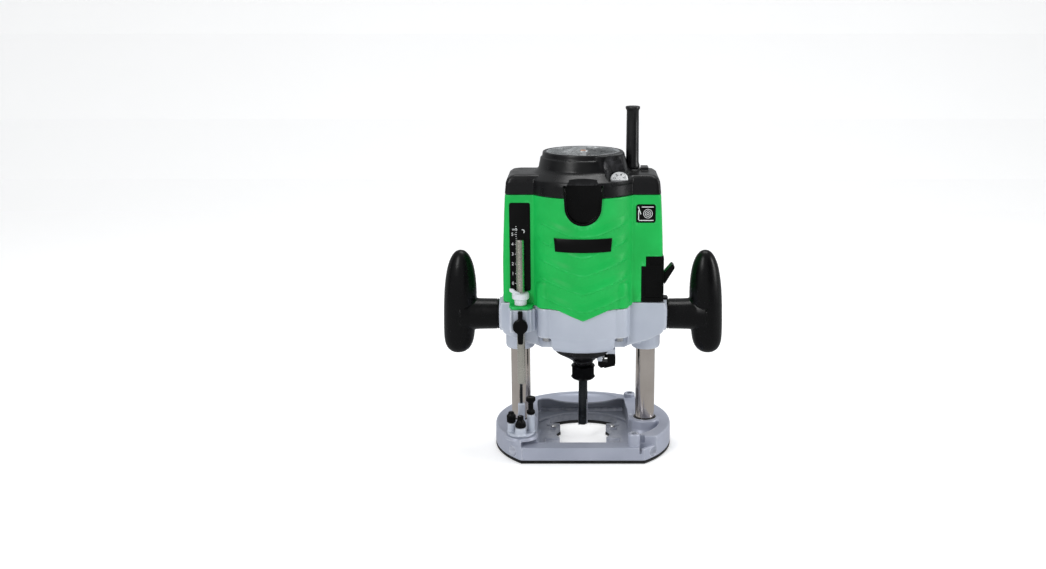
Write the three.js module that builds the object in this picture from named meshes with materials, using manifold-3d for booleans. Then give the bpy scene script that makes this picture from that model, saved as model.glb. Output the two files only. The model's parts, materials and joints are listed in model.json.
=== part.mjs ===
// A 12 mm plunge router, in millimetres, +Z up. The model stands on its sub-base, the front
// faces -Y, the handles lie along X. The sizes below are measured from the spindle axis; the
// whole group is then set back so that its origin lies under the middle of its outline.
import * as THREE from "three";
import { mergeVertices } from "three/addons/utils/BufferGeometryUtils.js";
import Module from "manifold-3d";

const wasm = await Module();
wasm.setup();

// ---- driving dimensions ----
const GAP = 0.3;
const SPINDLE_SETBACK = 12.25;
const BASE = { radius: 92, front: 67.5, bottom: 3 + GAP, floor: 9.5, beam: 17, top: 24.5 };
const OPENING = { back: 54, side: 38.5, front: 49, guide: 29.5, tabTip: 24.4, tab: 24.3 };
const SUB_BASE_THICKNESS = 3;
const SUB_BASE_SCREWS = [[70, 32], [-70, 32], [73, -28], [-73, -28]];
const TEMPLATE_SCREW = { x: 31.4, y: 11, seat: 10.8, bottom: 4 };
const GUIDE_BAR = { bore: 5.2, height: 10.2, front: -58, rear: 70, screwX: 51.5, bossTop: 29.5 };
const COLUMN = { x: 65, radius: 10, bore: 8, foot: 5.3, floor: 14, top: 214 };
const COLUMN_BOSS = { radius: 15.5, top: 27 };
const SPRING = { radius: 6.2, wire: 1, bottom: 15.5, top: 281.5, turns: 9, stepsPerTurn: 8 };
const TURRET = { x: -63, y: -46, reach: 10, flange: 14, bottom: BASE.top + GAP, top: 28 };
const POLE = { x: -62.4, y: -36, radius: 4, bottom: 75.4, top: 224 };
const STOP_PIN_RADIUS = 1.35;
const INDICATOR = { bottom: 157.9, top: 170.6, radius: 7.8, pointerTop: 175.6 };
const WING_BOLT = { height: 138.5, radius: 7.6, front: -51.5, back: -46, below: 18.5, above: 16 };
const LUG = { bottom: 130.5, top: 154.5 };
const HANDLE = { height: 139.3, neck: 15.8, boss: 16.5, bossEnd: 86 };
const GRIP = { x: 125, lean: 4.6, low: 98, high: 206.6, flare: 104 };
const SLEEVE = { radius: 15, bottom: 104 };
const BOWL = { radius: 56, bottom: 111, pit: 39.4, cavity: 47, floor: 115.5, top: 162 };
const BOLT_COLUMN = { x: 36, y: 36, radius: 9.5, bottom: 126 };
const WING = { x: 80, y: 31, corner: 8 };
const SHELL = { radius: 58, bottom: 156, wing: 159, top: 268, wall: 4, chevronTip: 146 };
const CAP = { bottom: SHELL.top + GAP, collar: 283, shoulder: 291, wing: 286.5, top: 307.8 };
const TOWER = { foot: 44.5, top: 40, bore: 37.3 };
const VISOR = { half: 19.2, low: 241, high: 279.5, depth: 12 };
const SCALE = { left: -72.8, right: -52.4, low: 171, high: 260, thickness: 1.2 };
const SWITCH = { left: 58.5, right: 81, low: 159.6, high: 206, step: 196, stepLeft: 63, back: -12.6 };
const BADGE = { left: 52.6, right: 71.6, low: 240.5, high: 258.5, thickness: 1.2 };
const NAME_PLATE = { half: 28, low: 215.5, high: 228.8, thickness: 1.4 };
const DIAL = { x: 35.5, y: -34.9, z: 284.3, radius: 9.6, thickness: 6, tilt: 0.8 };
const CORD_GUARD = { x: 49.8, y: 10, bottom: 282, seat: 289.4, top: 351, bore: 3.4 };
const NUT = { flats: 23, bottom: 69, top: 86 };
const BIT = { radius: 5.3, tip: 18, shank: 4.6, flutesTop: 62, top: 84 };
const CONE = { rim: 28, rimBottom: 99.4, neck: 10.8, neckTop: 89.2 };
const LOCK_LEVER = { x: -63, z: 135 };
const LOCK_PIN = { y: -6.5, z: 95.4, radius: 1.9 };
const BEARING = { lowerRadius: 16, lowerBottom: 113.5, lowerTop: 123.5, upperRadius: 13, upperBottom: 270.5 };
const MOTOR = { coreBottom: 172, coreTop: 226, brushBottom: 238, brushTop: 248, fan: 129, shaft: 6 };
const ARC_STEPS = 12;
const CORNER_STEPS = 2;
const BEND_STEPS = 5;

// ---- finishes ----
function finish(color, roughness, metalness) {
  return () => new THREE.MeshStandardMaterial({ color, roughness, metalness });
}
const FINISH = {
  green: finish(0x16bc50, 0.45, 0),
  black: finish(0x17171a, 0.4, 0),
  rubber: finish(0x131314, 0.6, 0),
  casting: finish(0xb4b9cc, 0.5, 0.3),
  baseCasting: finish(0xa5a8be, 0.5, 0.3),
  steel: finish(0xb9b2aa, 0.25, 1),
  darkSteel: finish(0x2b2b2e, 0.45, 0.8),
  white: finish(0xe6e6ea, 0.4, 0),
  copper: finish(0xb87333, 0.35, 1),
  laminations: finish(0x6b6c70, 0.5, 0.8),
  carbon: finish(0x2a2a2a, 0.8, 0),
};

// ---- solids ----
function toSolid(geometry) {
  const bare = geometry.index ? geometry.toNonIndexed() : geometry.clone();
  bare.deleteAttribute("normal");
  bare.deleteAttribute("uv");
  const merged = mergeVertices(bare, 1e-4);
  const places = merged.attributes.position.array;
  const corners = [];
  for (let i = 0; i < merged.index.count; i += 3) {
    const [a, b, c] = [0, 1, 2].map((k) => merged.index.getX(i + k));
    if (a !== b && b !== c && c !== a) corners.push(a, b, c);
  }
  if (signedVolume(places, corners) < 0) {
    for (let i = 0; i < corners.length; i += 3) {
      [corners[i + 1], corners[i + 2]] = [corners[i + 2], corners[i + 1]];
    }
  }
  const vertProperties = new Float32Array(places);
  const triVerts = new Uint32Array(corners);
  return new wasm.Manifold(new wasm.Mesh({ numProp: 3, vertProperties, triVerts }));
}

function signedVolume(places, corners) {
  let volume = 0;
  const [a, b, c] = [new THREE.Vector3(), new THREE.Vector3(), new THREE.Vector3()];
  for (let i = 0; i < corners.length; i += 3) {
    [a, b, c].forEach((v, k) => v.fromArray(places, corners[i + k] * 3));
    volume += a.dot(b.cross(c)) / 6;
  }
  return volume;
}

function block(low, high) {
  const size = high.map((value, i) => value - low[i]);
  const geometry = new THREE.BoxGeometry(...size);
  geometry.translate(...low.map((value, i) => value + size[i] / 2));
  return toSolid(geometry);
}

function shapeOf(points) {
  return new THREE.Shape(points.map(([x, y]) => new THREE.Vector2(x, y)));
}

// An outline in plan, raised from bottom to top; each of its arcs has twice as many sides as steps.
function prism(outline, bottom, top, steps = ARC_STEPS) {
  const shape = Array.isArray(outline) ? shapeOf(outline) : outline;
  const settings = { depth: top - bottom, bevelEnabled: false, curveSegments: steps };
  const geometry = new THREE.ExtrudeGeometry(shape, settings);
  geometry.translate(0, 0, bottom);
  return toSolid(geometry);
}

// An outline of [x, z] points, extruded along Y from front to back.
function slab(outline, front, back, steps = BEND_STEPS) {
  const settings = { depth: back - front, bevelEnabled: false, curveSegments: steps };
  const shape = Array.isArray(outline) ? shapeOf(outline) : outline;
  const geometry = new THREE.ExtrudeGeometry(shape, settings);
  geometry.rotateX(Math.PI / 2);
  geometry.translate(0, back, 0);
  return toSolid(geometry);
}

// A profile of [radius, height] points, turned about a vertical axis through x, y.
function turned(profile, x = 0, y = 0, sides = 28) {
  const points = profile.map(([radius, height]) => new THREE.Vector2(radius, height));
  const geometry = new THREE.LatheGeometry(points, sides);
  geometry.rotateX(Math.PI / 2);
  geometry.translate(x, y, 0);
  return toSolid(geometry);
}

function cylinder(radius, bottom, top, x = 0, y = 0, sides = 16) {
  const geometry = new THREE.CylinderGeometry(radius, radius, top - bottom, sides);
  geometry.rotateX(Math.PI / 2);
  geometry.translate(x, y, (bottom + top) / 2);
  return toSolid(geometry);
}

function cylinderAlongX(radius, left, right, y, z, sides = 18) {
  const geometry = new THREE.CylinderGeometry(radius, radius, right - left, sides);
  geometry.rotateZ(Math.PI / 2);
  geometry.translate((left + right) / 2, y, z);
  return toSolid(geometry);
}

function cylinderAlongY(radius, front, back, x, z, sides = 18) {
  const geometry = new THREE.CylinderGeometry(radius, radius, back - front, sides);
  geometry.translate(x, (front + back) / 2, z);
  return toSolid(geometry);
}

function ring(outer, inner, bottom, top, x = 0, y = 0, sides = 24) {
  const bore = cylinder(inner, bottom - 1, top + 1, x, y, sides);
  return cylinder(outer, bottom, top, x, y, sides).subtract(bore);
}

function union(solids) {
  return solids.reduce((whole, piece) => whole.add(piece));
}

function cut(whole, tools) {
  return tools.reduce((rest, tool) => rest.subtract(tool), whole);
}

function toGeometry(solid) {
  const { vertProperties, triVerts } = solid.getMesh();
  const geometry = new THREE.BufferGeometry();
  geometry.setAttribute("position", new THREE.BufferAttribute(vertProperties, 3));
  geometry.setIndex(new THREE.BufferAttribute(triVerts, 1));
  geometry.computeVertexNormals();
  return geometry;
}

// ---- the assembly ----
const router = new THREE.Group();
router.position.y = -SPINDLE_SETBACK;

function add(name, solid, material) {
  const mesh = new THREE.Mesh(toGeometry(solid), material());
  mesh.name = name;
  router.add(mesh);
}

const SIDES = { left: -1, right: 1 };

function forSides(make) {
  for (const [name, side] of Object.entries(SIDES)) make(name, side);
}

// ---- base ----
function baseOutline() {
  const corner = Math.sqrt(BASE.radius ** 2 - BASE.front ** 2);
  const angle = Math.atan2(BASE.front, corner);
  const shape = new THREE.Shape();
  shape.moveTo(-corner, -BASE.front);
  shape.lineTo(corner, -BASE.front);
  shape.absarc(0, 0, BASE.radius, -angle, Math.PI + angle, false);
  return shape;
}

// The opening round the bit: an arc at the back, two pairs of tabs that hold a template guide.
function openingOutline() {
  const { back, side, front, guide, tabTip, tab } = OPENING;
  const tipAngle = Math.acos(tabTip / guide);
  const backAngle = Math.acos((side - 2) / back);
  const shape = new THREE.Shape();
  shape.moveTo(-side + 7, -front);
  shape.lineTo(side - 7, -front);
  shape.lineTo(side, -front + 7);
  shape.lineTo(side, -tab);
  shape.lineTo(tabTip, -tab);
  shape.absarc(0, 0, guide, -tipAngle, tipAngle, false);
  shape.lineTo(tabTip + 1, tab - 2);
  shape.lineTo(side - 2, tab - 2);
  shape.absarc(0, 0, back, backAngle, Math.PI - backAngle, false);
  shape.lineTo(-side + 2, tab - 2);
  shape.lineTo(-tabTip - 1, tab - 2);
  shape.absarc(0, 0, guide, Math.PI - tipAngle, Math.PI + tipAngle, false);
  shape.lineTo(-tabTip, -tab);
  shape.lineTo(-side, -tab);
  shape.lineTo(-side, -front + 7);
  return shape;
}

function guideBarTools() {
  const { bore, height, front, rear, screwX, bossTop } = GUIDE_BAR;
  const bars = [front, rear].map((y) => cylinderAlongX(bore, -100, 100, y, height, 20));
  const screws = [front, rear].map((y) => cylinder(3.1, height, bossTop + 1, screwX, y, 16));
  return [...bars, ...screws];
}

function basePlate() {
  const { bottom, floor, beam, top } = BASE;
  const well = [[-47, -50.5], [47, -50.5], [47, 58], [42, 66], [-42, 66], [-47, 58]];
  const dish = new THREE.SphereGeometry(1, 16, 10);
  dish.scale(37, 21, 6.5);
  dish.translate(0, 67.5, top + 1);
  const body = cut(prism(baseOutline(), bottom, top), [
    prism(well, floor, top + 1),
    block([-63, -70, beam], [63, -50, top + 1]).subtract(block([-63, -52, 0], [-47.1, -49, 40])),
    toSolid(dish),
    block([57, -72, GUIDE_BAR.height], [BASE.radius, GUIDE_BAR.front + GUIDE_BAR.bore, top + 1]),
  ]);
  const bosses = [
    ...[-1, 1].map((side) => cylinder(COLUMN_BOSS.radius, floor, COLUMN_BOSS.top, side * COLUMN.x)),
    ...[GUIDE_BAR.front, GUIDE_BAR.rear].map((y) =>
      cylinder(6, 12, GUIDE_BAR.bossTop, GUIDE_BAR.screwX, y)),
    ...[-1, 1].map((side) => {
      const { x, y } = TEMPLATE_SCREW;
      return cylinder(4, 5, floor + 1, side * x, y, 12);
    }),
  ];
  return cut(union([body, ...bosses]), [
    prism(openingOutline(), 0, 40, BEND_STEPS),
    ...[-1, 1].map((side) => cylinder(COLUMN.radius + GAP, COLUMN.foot - GAP, 40, side * COLUMN.x)),
    ...guideBarTools(),
    ...SUB_BASE_SCREWS.map(([x, y]) => cylinder(2.3, 0, 14.5, x, y, 12)),
    ...[-1, 1].map((side) => cylinder(2.1, 0, 20, side * TEMPLATE_SCREW.x, TEMPLATE_SCREW.y, 12)),
    cylinder(3.3, 7, 40, TURRET.x, TURRET.y, 16),
  ]);
}

function subBase() {
  return cut(prism(baseOutline(), 0, SUB_BASE_THICKNESS), [
    prism(openingOutline(), -1, 5, BEND_STEPS),
    ...SUB_BASE_SCREWS.map(([x, y]) => cylinder(4.3, -1, 5, x, y, 16)),
  ]);
}

// A screw that stands upright: its head rests on the seat, its shank reaches down to the bottom.
function screw(x, y, { seat, bottom, headRadius, headTop, shankRadius }) {
  return union([
    cylinder(headRadius, seat, headTop, x, y, 16),
    cylinder(shankRadius, bottom, seat, x, y, 12),
  ]);
}

function addBase() {
  add("base_plate", basePlate(), FINISH.baseCasting);
  add("sub_base", subBase(), FINISH.black);
  SUB_BASE_SCREWS.forEach(([x, y], i) => {
    const head = cylinder(4, 0.6, 3, x, y, 16);
    add(`sub_base_screw_${i + 1}`, head.add(cylinder(2, 3, 13.5, x, y, 12)), FINISH.darkSteel);
  });
  forSides((name, side) => {
    const x = side * COLUMN.x;
    const tube = cylinder(COLUMN.radius, COLUMN.foot, COLUMN.top, x, 0, 24);
    const bore = cylinder(COLUMN.bore, COLUMN.floor, COLUMN.top + 1, x, 0, 24);
    add(`column_${name}`, tube.subtract(bore), FINISH.steel);
    add(`column_spring_${name}`, spring(x, SPRING), FINISH.darkSteel);
    const { seat, bottom, y } = TEMPLATE_SCREW;
    const size = { seat, bottom, headRadius: 3, headTop: seat + 2.4, shankRadius: 1.8 };
    add(`template_screw_${name}`, screw(side * TEMPLATE_SCREW.x, y, size), FINISH.steel);
  });
  const { height, bore, screwX, bossTop } = GUIDE_BAR;
  for (const place of ["front", "rear"]) {
    const body = cylinder(2.8, height + bore - 1, bossTop - 2, screwX, GUIDE_BAR[place], 16);
    const socket = cylinder(1.5, bossTop - 5, bossTop, screwX, GUIDE_BAR[place], 6);
    add(`guide_bar_screw_${place}`, body.subtract(socket), FINISH.darkSteel);
  }
}

class Helix extends THREE.Curve {
  constructor(x, { radius, bottom, top, turns }) {
    super();
    Object.assign(this, { x, radius, bottom, top, turns });
  }
  getPoint(t, target = new THREE.Vector3()) {
    const angle = t * this.turns * 2 * Math.PI;
    const z = this.bottom + (this.top - this.bottom) * t;
    return target.set(this.x + this.radius * Math.cos(angle), this.radius * Math.sin(angle), z);
  }
}

function spring(x, size) {
  const half = size.wire * 0.8;
  const wire = shapeOf([[half, half], [-half, half], [-half, -half], [half, -half]]);
  const settings = { extrudePath: new Helix(x, size), steps: size.turns * size.stepsPerTurn };
  return toSolid(new THREE.ExtrudeGeometry(wire, settings));
}

// ---- depth stop ----
function addTurret() {
  const { x, y, reach, flange, bottom, top } = TURRET;
  const columns = [
    { at: [x - reach, y], radius: 4, height: 36.4 },
    { at: [x, y - reach], radius: 5.6, height: 35 },
    { at: [x + reach, y], radius: 4, height: 45.5 },
    { at: [x, y + reach], radius: 3.5, height: 54.2 },
  ];
  const posts = columns.map(({ at, radius, height }) => cylinder(radius, bottom, height, ...at, 12));
  const block = union([cylinder(flange, bottom, top, x, y, 24), ...posts]);
  add("turret_block", cut(block, [cylinder(3.3, 0, 40, x, y, 16)]), FINISH.casting);
  const bolt = { seat: top + GAP, bottom: 8, headRadius: 4.2, headTop: top + 3.5, shankRadius: 3 };
  add("turret_bolt", screw(x, y, bolt), FINISH.darkSteel);
  const [low, mid, high] = columns;
  const lowScrew = [[0, 0], [4.4, 0], [4.4, 8], [3.4, 11.4], [0, 11.4]];
  const midScrew = [[0, 0], [5.4, 0], [5, 5], [3.2, 7.5], [3.2, 12], [0, 12]];
  const highScrew = [
    [0, 0], [4, 0], [4, 3], [2.6, 5], [2.6, 12], [4.6, 14], [4.6, 18.3], [0, 18.3],
  ];
  addScrew("stop_screw_mid", midScrew, mid);
  addScrew("stop_screw_low", lowScrew, low);
  addScrew("stop_screw_high", highScrew, high);
  const seat = columns[3];
  const pin = cylinder(STOP_PIN_RADIUS, seat.height + GAP, POLE.bottom - GAP, ...seat.at, 12);
  add("stop_pin", pin, FINISH.darkSteel);
}

function addScrew(name, profile, { at, height }) {
  const raised = profile.map(([radius, z]) => [radius, z + height + GAP]);
  add(name, turned(raised, ...at, 14), FINISH.black);
}

function addDepthStop() {
  const { x, y, radius, bottom, top } = POLE;
  const groove = block([x - 0.4, y - radius - 1, bottom + 8], [x + 0.4, y - radius + 0.6, top + 1]);
  add("depth_pole", cylinder(radius, bottom, top, x, y, 20).subtract(groove), FINISH.steel);
  add("depth_indicator", depthIndicator(), FINISH.white);
  add("pole_wing_bolt", wingBolt(), FINISH.black);
}

// A collar round the pole, flat where it faces the scale, with a pointer up to the figures.
function depthIndicator() {
  const { x, y, radius } = POLE;
  const { bottom, top, radius: widest, pointerTop } = INDICATOR;
  const collar = [
    [0, bottom], [widest - 2.2, bottom], [widest - 1.8, bottom + 5], [widest, bottom + 7],
    [widest, top - 1.1], [widest - 1.2, top], [0, top],
  ];
  const flag = [
    [x - 10.8, pointerTop], [x - 10.8, pointerTop - 2.8], [x - 3.6, top - 2.6],
    [x - 1.6, top - 2.6], [x - 1.6, top + 0.8], [x - 5.6, top + 2.4],
  ];
  return cut(turned(collar, x, y, 24).add(slab(flag, y - 5, y - 2)), [
    cylinder(radius + GAP, bottom - 1, pointerTop + 1, x, y, 20),
    block([x - 12, -WING.y - 0.8, bottom - 1], [x + 12, -WING.y + 6, pointerTop + 1]),
  ]);
}

function wingBolt() {
  const x = POLE.x;
  const { height, radius, front, back, below, above } = WING_BOLT;
  const disc = cylinderAlongY(radius, front, back, x, height, 24);
  const outline = [
    [x - 2.6, height - below], [x + 2.6, height - below], [x + 3.4, height],
    [x + 2.6, height + above], [x - 2.6, height + above], [x - 3.4, height],
  ];
  const shank = cylinderAlongY(2.6, back - 0.5, POLE.y - POLE.radius - GAP, x, height, 12);
  return union([disc, slab(outline, front + 1, back - 0.4), shank]);
}

// ---- motor bracket ----
function sideBlock(side) {
  const outline = [[48, 115], [48, SHELL.wing + 3], [84, SHELL.wing - 1], [83, 130]];
  return slab(outline.map(([x, z]) => [side * x, z]), -WING.y, WING.y);
}

function poleLug() {
  const plan = [[-73, -30], [-73, -38], [-70, -44], [-56, -44], [-52, -38], [-48, -38], [-48, -30]];
  return prism(plan, LUG.bottom, LUG.top);
}

function boltPlaces() {
  const { x, y } = BOLT_COLUMN;
  return [[-x, -y], [x, -y], [-x, y], [x, y]];
}

// The casting before it is bored: the bowl under the motor with a sleeve, a block and a handle boss
// on each side, and a column under each housing screw.
function bracketBody() {
  const { radius, bottom, top } = BOWL;
  const bowl = turned([
    [0, bottom], [radius - 9, bottom], [radius - 4, bottom + 2], [radius - 1, bottom + 6.5],
    [radius, bottom + 13.5], [radius, top], [0, top],
  ], 0, 0, 40);
  const sides = [-1, 1].flatMap((side) => {
    const sleeve = turned([
      [0, SLEEVE.bottom], [SLEEVE.radius - 2.5, SLEEVE.bottom], [SLEEVE.radius, SLEEVE.bottom + 3],
      [SLEEVE.radius, top - 4], [0, top - 4],
    ], side * COLUMN.x, 0, 20);
    const [near, far] = [side * (COLUMN.x + 1), side * HANDLE.bossEnd].sort((a, b) => a - b);
    return [sleeve, sideBlock(side), cylinderAlongX(HANDLE.boss, near, far, 0, HANDLE.height, 24)];
  });
  const columns = boltPlaces().map(([x, y]) =>
    cylinder(BOLT_COLUMN.radius, bottom + 3.5, top, x, y, 14));
  return union([bowl, ...sides, ...columns, poleLug()]);
}

function motorBracket() {
  const { bottom, pit, cavity, floor, top } = BOWL;
  const above = top + 8;
  const hollow = turned([
    [0, floor], [pit, floor], [pit, BOLT_COLUMN.bottom + 1.8], [cavity, BOLT_COLUMN.bottom + 2.2],
    [cavity, above], [0, above],
  ], 0, 0, 40);
  const screwHoles = boltPlaces().flatMap(([x, y]) => [
    cylinder(BOLT_COLUMN.radius + 0.5, SLEEVE.bottom, BOLT_COLUMN.bottom, x, y, 14),
    cylinder(2.8, SLEEVE.bottom, LUG.top, x, y, 8),
  ]);
  const opened = cut(bracketBody(), [hollow, shellEnvelope(GAP), ...screwHoles]);
  const bearingSeat = cylinder(BEARING.lowerRadius + 5, bottom, BEARING.lowerTop + 2, 0, 0, 24);
  const columnBores = [-1, 1].flatMap((side) => [
    cylinder(COLUMN.radius + GAP, SLEEVE.bottom - 4, above, side * COLUMN.x, 0, 24),
    cylinder(SLEEVE.radius - 2, SLEEVE.bottom - 4, SLEEVE.bottom + 5, side * COLUMN.x, 0, 24),
  ]);
  return cut(opened.add(bearingSeat), [
    cylinder(BEARING.lowerRadius + GAP, BEARING.lowerBottom - 0.5, above, 0, 0, 24),
    cylinder(BEARING.lowerRadius - 4, SLEEVE.bottom, BEARING.lowerTop, 0, 0, 24),
    ...columnBores,
    cylinder(POLE.radius + 0.4, LUG.bottom - 5, LUG.top + 5, POLE.x, POLE.y, 20),
    cylinderAlongY(2.9, WING_BOLT.front, POLE.y, POLE.x, WING_BOLT.height, 12),
    cylinderAlongY(4.3, WING.y - 11, WING.y + 1, LOCK_LEVER.x, LOCK_LEVER.z, 16),
  ]);
}

function lockLever() {
  const { x, z } = LOCK_LEVER;
  const hub = cylinderAlongY(8, WING.y + GAP, WING.y + 9, x, z, 24);
  const pivot = cylinderAlongY(3.9, WING.y - 8, WING.y + 1, x, z, 16);
  const arm = slab([
    [x + 2, z + 7], [x - 18, z + 4], [x - 34, z - 5], [x - 36, z - 12],
    [x - 30, z - 13], [x - 14, z - 5], [x, z - 7],
  ], WING.y + 3, WING.y + 8);
  return union([hub, pivot, arm]);
}

// A grip that leans outward towards its foot, fuller below than above, on a flared neck.
function grip(side) {
  const { height, neck, bossEnd } = HANDLE;
  const { x, lean, low, high, flare } = GRIP;
  const profile = [
    [0, low], [7, low + 1.2], [11.7, low + 5.7], [14.6, low + 12], [15.9, low + 22],
    [16.6, height], [16.7, height + 20], [16, height + 32], [14.1, high - 20],
    [11.1, high - 10.5], [7, high - 3.6], [0, high],
  ];
  const upright = turned(profile, 0, 0, 18).warp((corner) => {
    corner[0] += side * (x + lean * Math.max(0, (high - corner[2]) / (high - low)) ** 1.6);
  });
  const span = (near, far) => [side * near, side * far].sort((a, b) => a - b);
  return union([
    upright,
    cylinderAlongX(neck, ...span(bossEnd + GAP, x - 4), 0, height, 20),
    cylinderAlongX(neck + 1.5, ...span(flare, x - 4), 0, height, 20),
  ]);
}

// A cone under the bowl, down to the collet nut, with a notch on the right for the spindle lock.
function bearingCover() {
  const top = BOWL.bottom - GAP;
  const bottom = NUT.top + 0.5;
  const { rim, rimBottom, neck, neckTop } = CONE;
  const profile = [
    [0, top], [rim + 1, top], [rim, rimBottom + 1], [rim - 1, rimBottom], [neck, neckTop],
    [neck, bottom], [0, bottom],
  ];
  const { y, z } = LOCK_PIN;
  return cut(turned(profile, 0, 0, 28), [
    cylinder(8.5, bottom - 1, top + 1, 0, 0, 24),
    block([12, -16, bottom - 4], [36, 4, top + 1]),
    cylinderAlongX(LOCK_PIN.radius + 0.5, 8, 20, y, z, 12),
  ]);
}

// The spindle lock: a bent thumb lever whose pin slides through the ear of its bracket.
function lockBracket() {
  const arm = block([14.5, -14, 99.6], [33.6, 1, BOWL.bottom - GAP]);
  const ear = block([14.5, -14, 91.6], [20, 1, 100]);
  const bore = cylinderAlongX(LOCK_PIN.radius + GAP, 10, 24, LOCK_PIN.y, LOCK_PIN.z, 12);
  return union([arm, ear]).subtract(bore);
}

function lockPin() {
  const { y, z, radius } = LOCK_PIN;
  const thumbLever = slab([
    [15.4, 86.6], [18.5, 83.9], [33.3, 88.1], [33.3, 97.2], [31.1, 99.2],
    [25.4, 99.2], [25.4, 90.4], [15.4, 90.4],
  ], -13, 0);
  return thumbLever.add(cylinderAlongX(radius, 13, 27, y, z, 12));
}

function addBracket() {
  add("motor_bracket", motorBracket(), FINISH.casting);
  add("bearing_cover", bearingCover(), FINISH.black);
  add("lock_bracket", lockBracket(), FINISH.casting);
  add("lock_pin", lockPin(), FINISH.black);
  const { y: pinY, z: pinZ, radius: pinRadius } = LOCK_PIN;
  const coil = cylinderAlongX(pinRadius + 1.3, 20.3, 22.3, pinY, pinZ, 16);
  const coilBore = cylinderAlongX(pinRadius + GAP, 19, 27, pinY, pinZ, 12);
  add("lock_pin_spring", coil.subtract(coilBore), FINISH.steel);
  boltPlaces().forEach(([x, y], i) => {
    const head = cylinder(5, BOLT_COLUMN.bottom - 5.5, BOLT_COLUMN.bottom - GAP, x, y, 16);
    const shank = cylinder(2.5, BOLT_COLUMN.bottom - 1, SHELL.bottom - 8, x, y, 12);
    add(`housing_screw_${i + 1}`, head.add(shank), FINISH.darkSteel);
  });
  add("lock_lever", lockLever(), FINISH.black);
  forSides((name, side) => {
    add(`grip_${name}`, grip(side), FINISH.rubber);
    const low = SLEEVE.bottom + 0.5;
    const seal = ring(SLEEVE.radius - 2.3, COLUMN.radius + GAP, low, low + 4.2, side * COLUMN.x);
    add(`column_seal_${name}`, seal, FINISH.rubber);
  });
}

// ---- housing ----
function wingOutline(grow) {
  const [x, y, corner] = [WING.x + grow, WING.y + grow, WING.corner];
  const shape = new THREE.Shape();
  shape.moveTo(-x + corner, -y);
  shape.lineTo(x - corner, -y);
  shape.absarc(x - corner, -y + corner, corner, -Math.PI / 2, 0, false);
  shape.lineTo(x, y - corner);
  shape.absarc(x - corner, y - corner, corner, 0, Math.PI / 2, false);
  shape.lineTo(-x + corner, y);
  shape.absarc(-x + corner, y - corner, corner, Math.PI / 2, Math.PI, false);
  shape.lineTo(-x, -y + corner);
  shape.absarc(-x + corner, -y + corner, corner, Math.PI, 1.5 * Math.PI, false);
  return shape;
}

// The outer form of the green shell, grown by a gap for cutting its neighbours.
function shellEnvelope(gap) {
  const { radius, bottom, wing, top, chevronTip } = SHELL;
  const chevron = slab([
    [-46, bottom + 1], [-46, bottom - gap], [-25, bottom - gap], [0, chevronTip - gap],
    [25, bottom - gap], [46, bottom - gap], [46, bottom + 1],
  ], -70, -40);
  const ledge = prism([
    [-73.5 - gap, -28], [-73.5 - gap, -38], [-70, -45 - gap], [-56, -45 - gap],
    [-50 + gap, -38], [-50 + gap, -28],
  ], LUG.top + 0.5 - gap, LUG.top + 3);
  const columns = boltPlaces().map(([x, y]) =>
    cylinder(BOLT_COLUMN.radius + 1.5 + gap, bottom - gap, top, x, y));
  return union([
    prism(wingOutline(gap), wing - gap, top, CORNER_STEPS),
    turned([[0, bottom - gap], [radius + gap, bottom - gap], [radius + gap, top], [0, top]], 0, 0, 40),
    cylinder(radius + gap, chevronTip - 5, bottom + 1, 0, 0, 40).intersect(chevron),
    ledge,
    ...columns,
  ]);
}

function visorOutline(grow) {
  const { half, low, high } = VISOR;
  const shape = new THREE.Shape();
  shape.moveTo(-half - grow, high + grow);
  shape.lineTo(-half + 2 - grow, low + half + 4);
  shape.absarc(0, low + half + 2, half - 2 + grow, Math.PI, 2 * Math.PI, false);
  shape.lineTo(half - 2 + grow, low + half + 4);
  shape.lineTo(half + grow, high + grow);
  return shape;
}

function switchOutline(grow) {
  const { left, right, low, high, step, stepLeft } = SWITCH;
  return [
    [left - grow, low - grow], [right + 2, low - grow], [right + 2, high + grow],
    [stepLeft - grow, high + grow], [stepLeft - grow, step + grow], [left - grow, step + grow],
  ];
}

function platePocket({ left, right, low, high, thickness }) {
  return block([left - GAP, -WING.y - 1, low - GAP], [right + GAP, -WING.y + thickness + GAP, high + GAP]);
}

function namePlateBand(grow) {
  const { half, low, high, thickness } = NAME_PLATE;
  const band = ring(SHELL.radius + 0.4, SHELL.radius - thickness - grow, low - grow, high + grow, 0, 0, 72);
  return band.intersect(block([-half - grow, -SHELL.radius - 2, 0], [half + grow, -40, 300]));
}

function housing() {
  const { bottom, top, wall, wing } = SHELL;
  const inside = union([
    prism(wingOutline(-wall), wing + 3, top + 1, CORNER_STEPS),
    cylinder(SHELL.radius - wall, bottom + 0.1, top + 1, 0, 0, 36),
    ...[-1, 1].map((side) => cylinder(COLUMN.radius + 2, 140, top + 1, side * COLUMN.x, 0, 24)),
  ]);
  const apron = cylinder(BOWL.radius + GAP, 130, bottom + 2, 0, 0, 40);
  const pads = union(boltPlaces().map(([x, y]) => cylinder(7, bottom, MOTOR.coreBottom - 4, x, y, 20)));
  const shell = shellEnvelope(0).subtract(inside.subtract(pads)).subtract(apron);
  return cut(shell, [
    slab(visorOutline(GAP), -70, -30),
    slab(switchOutline(GAP), -WING.y - 1, SWITCH.back + GAP),
    cylinder(POLE.radius + 0.4, 140, 160, POLE.x, POLE.y, 20),
    platePocket(SCALE),
    platePocket(BADGE),
    namePlateBand(GAP),
  ]);
}

function switchBody() {
  const { right, high } = SWITCH;
  const body = slab(switchOutline(0), -WING.y - 0.4, SWITCH.back);
  const flange = block([right - 2, -WING.y + 2, 161], [85.6, SWITCH.back - 4, 164]);
  const trimmed = body.subtract(block([right, -50, 100], [right + 10, 50, high + 5]));
  return trimmed.add(flange);
}

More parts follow.
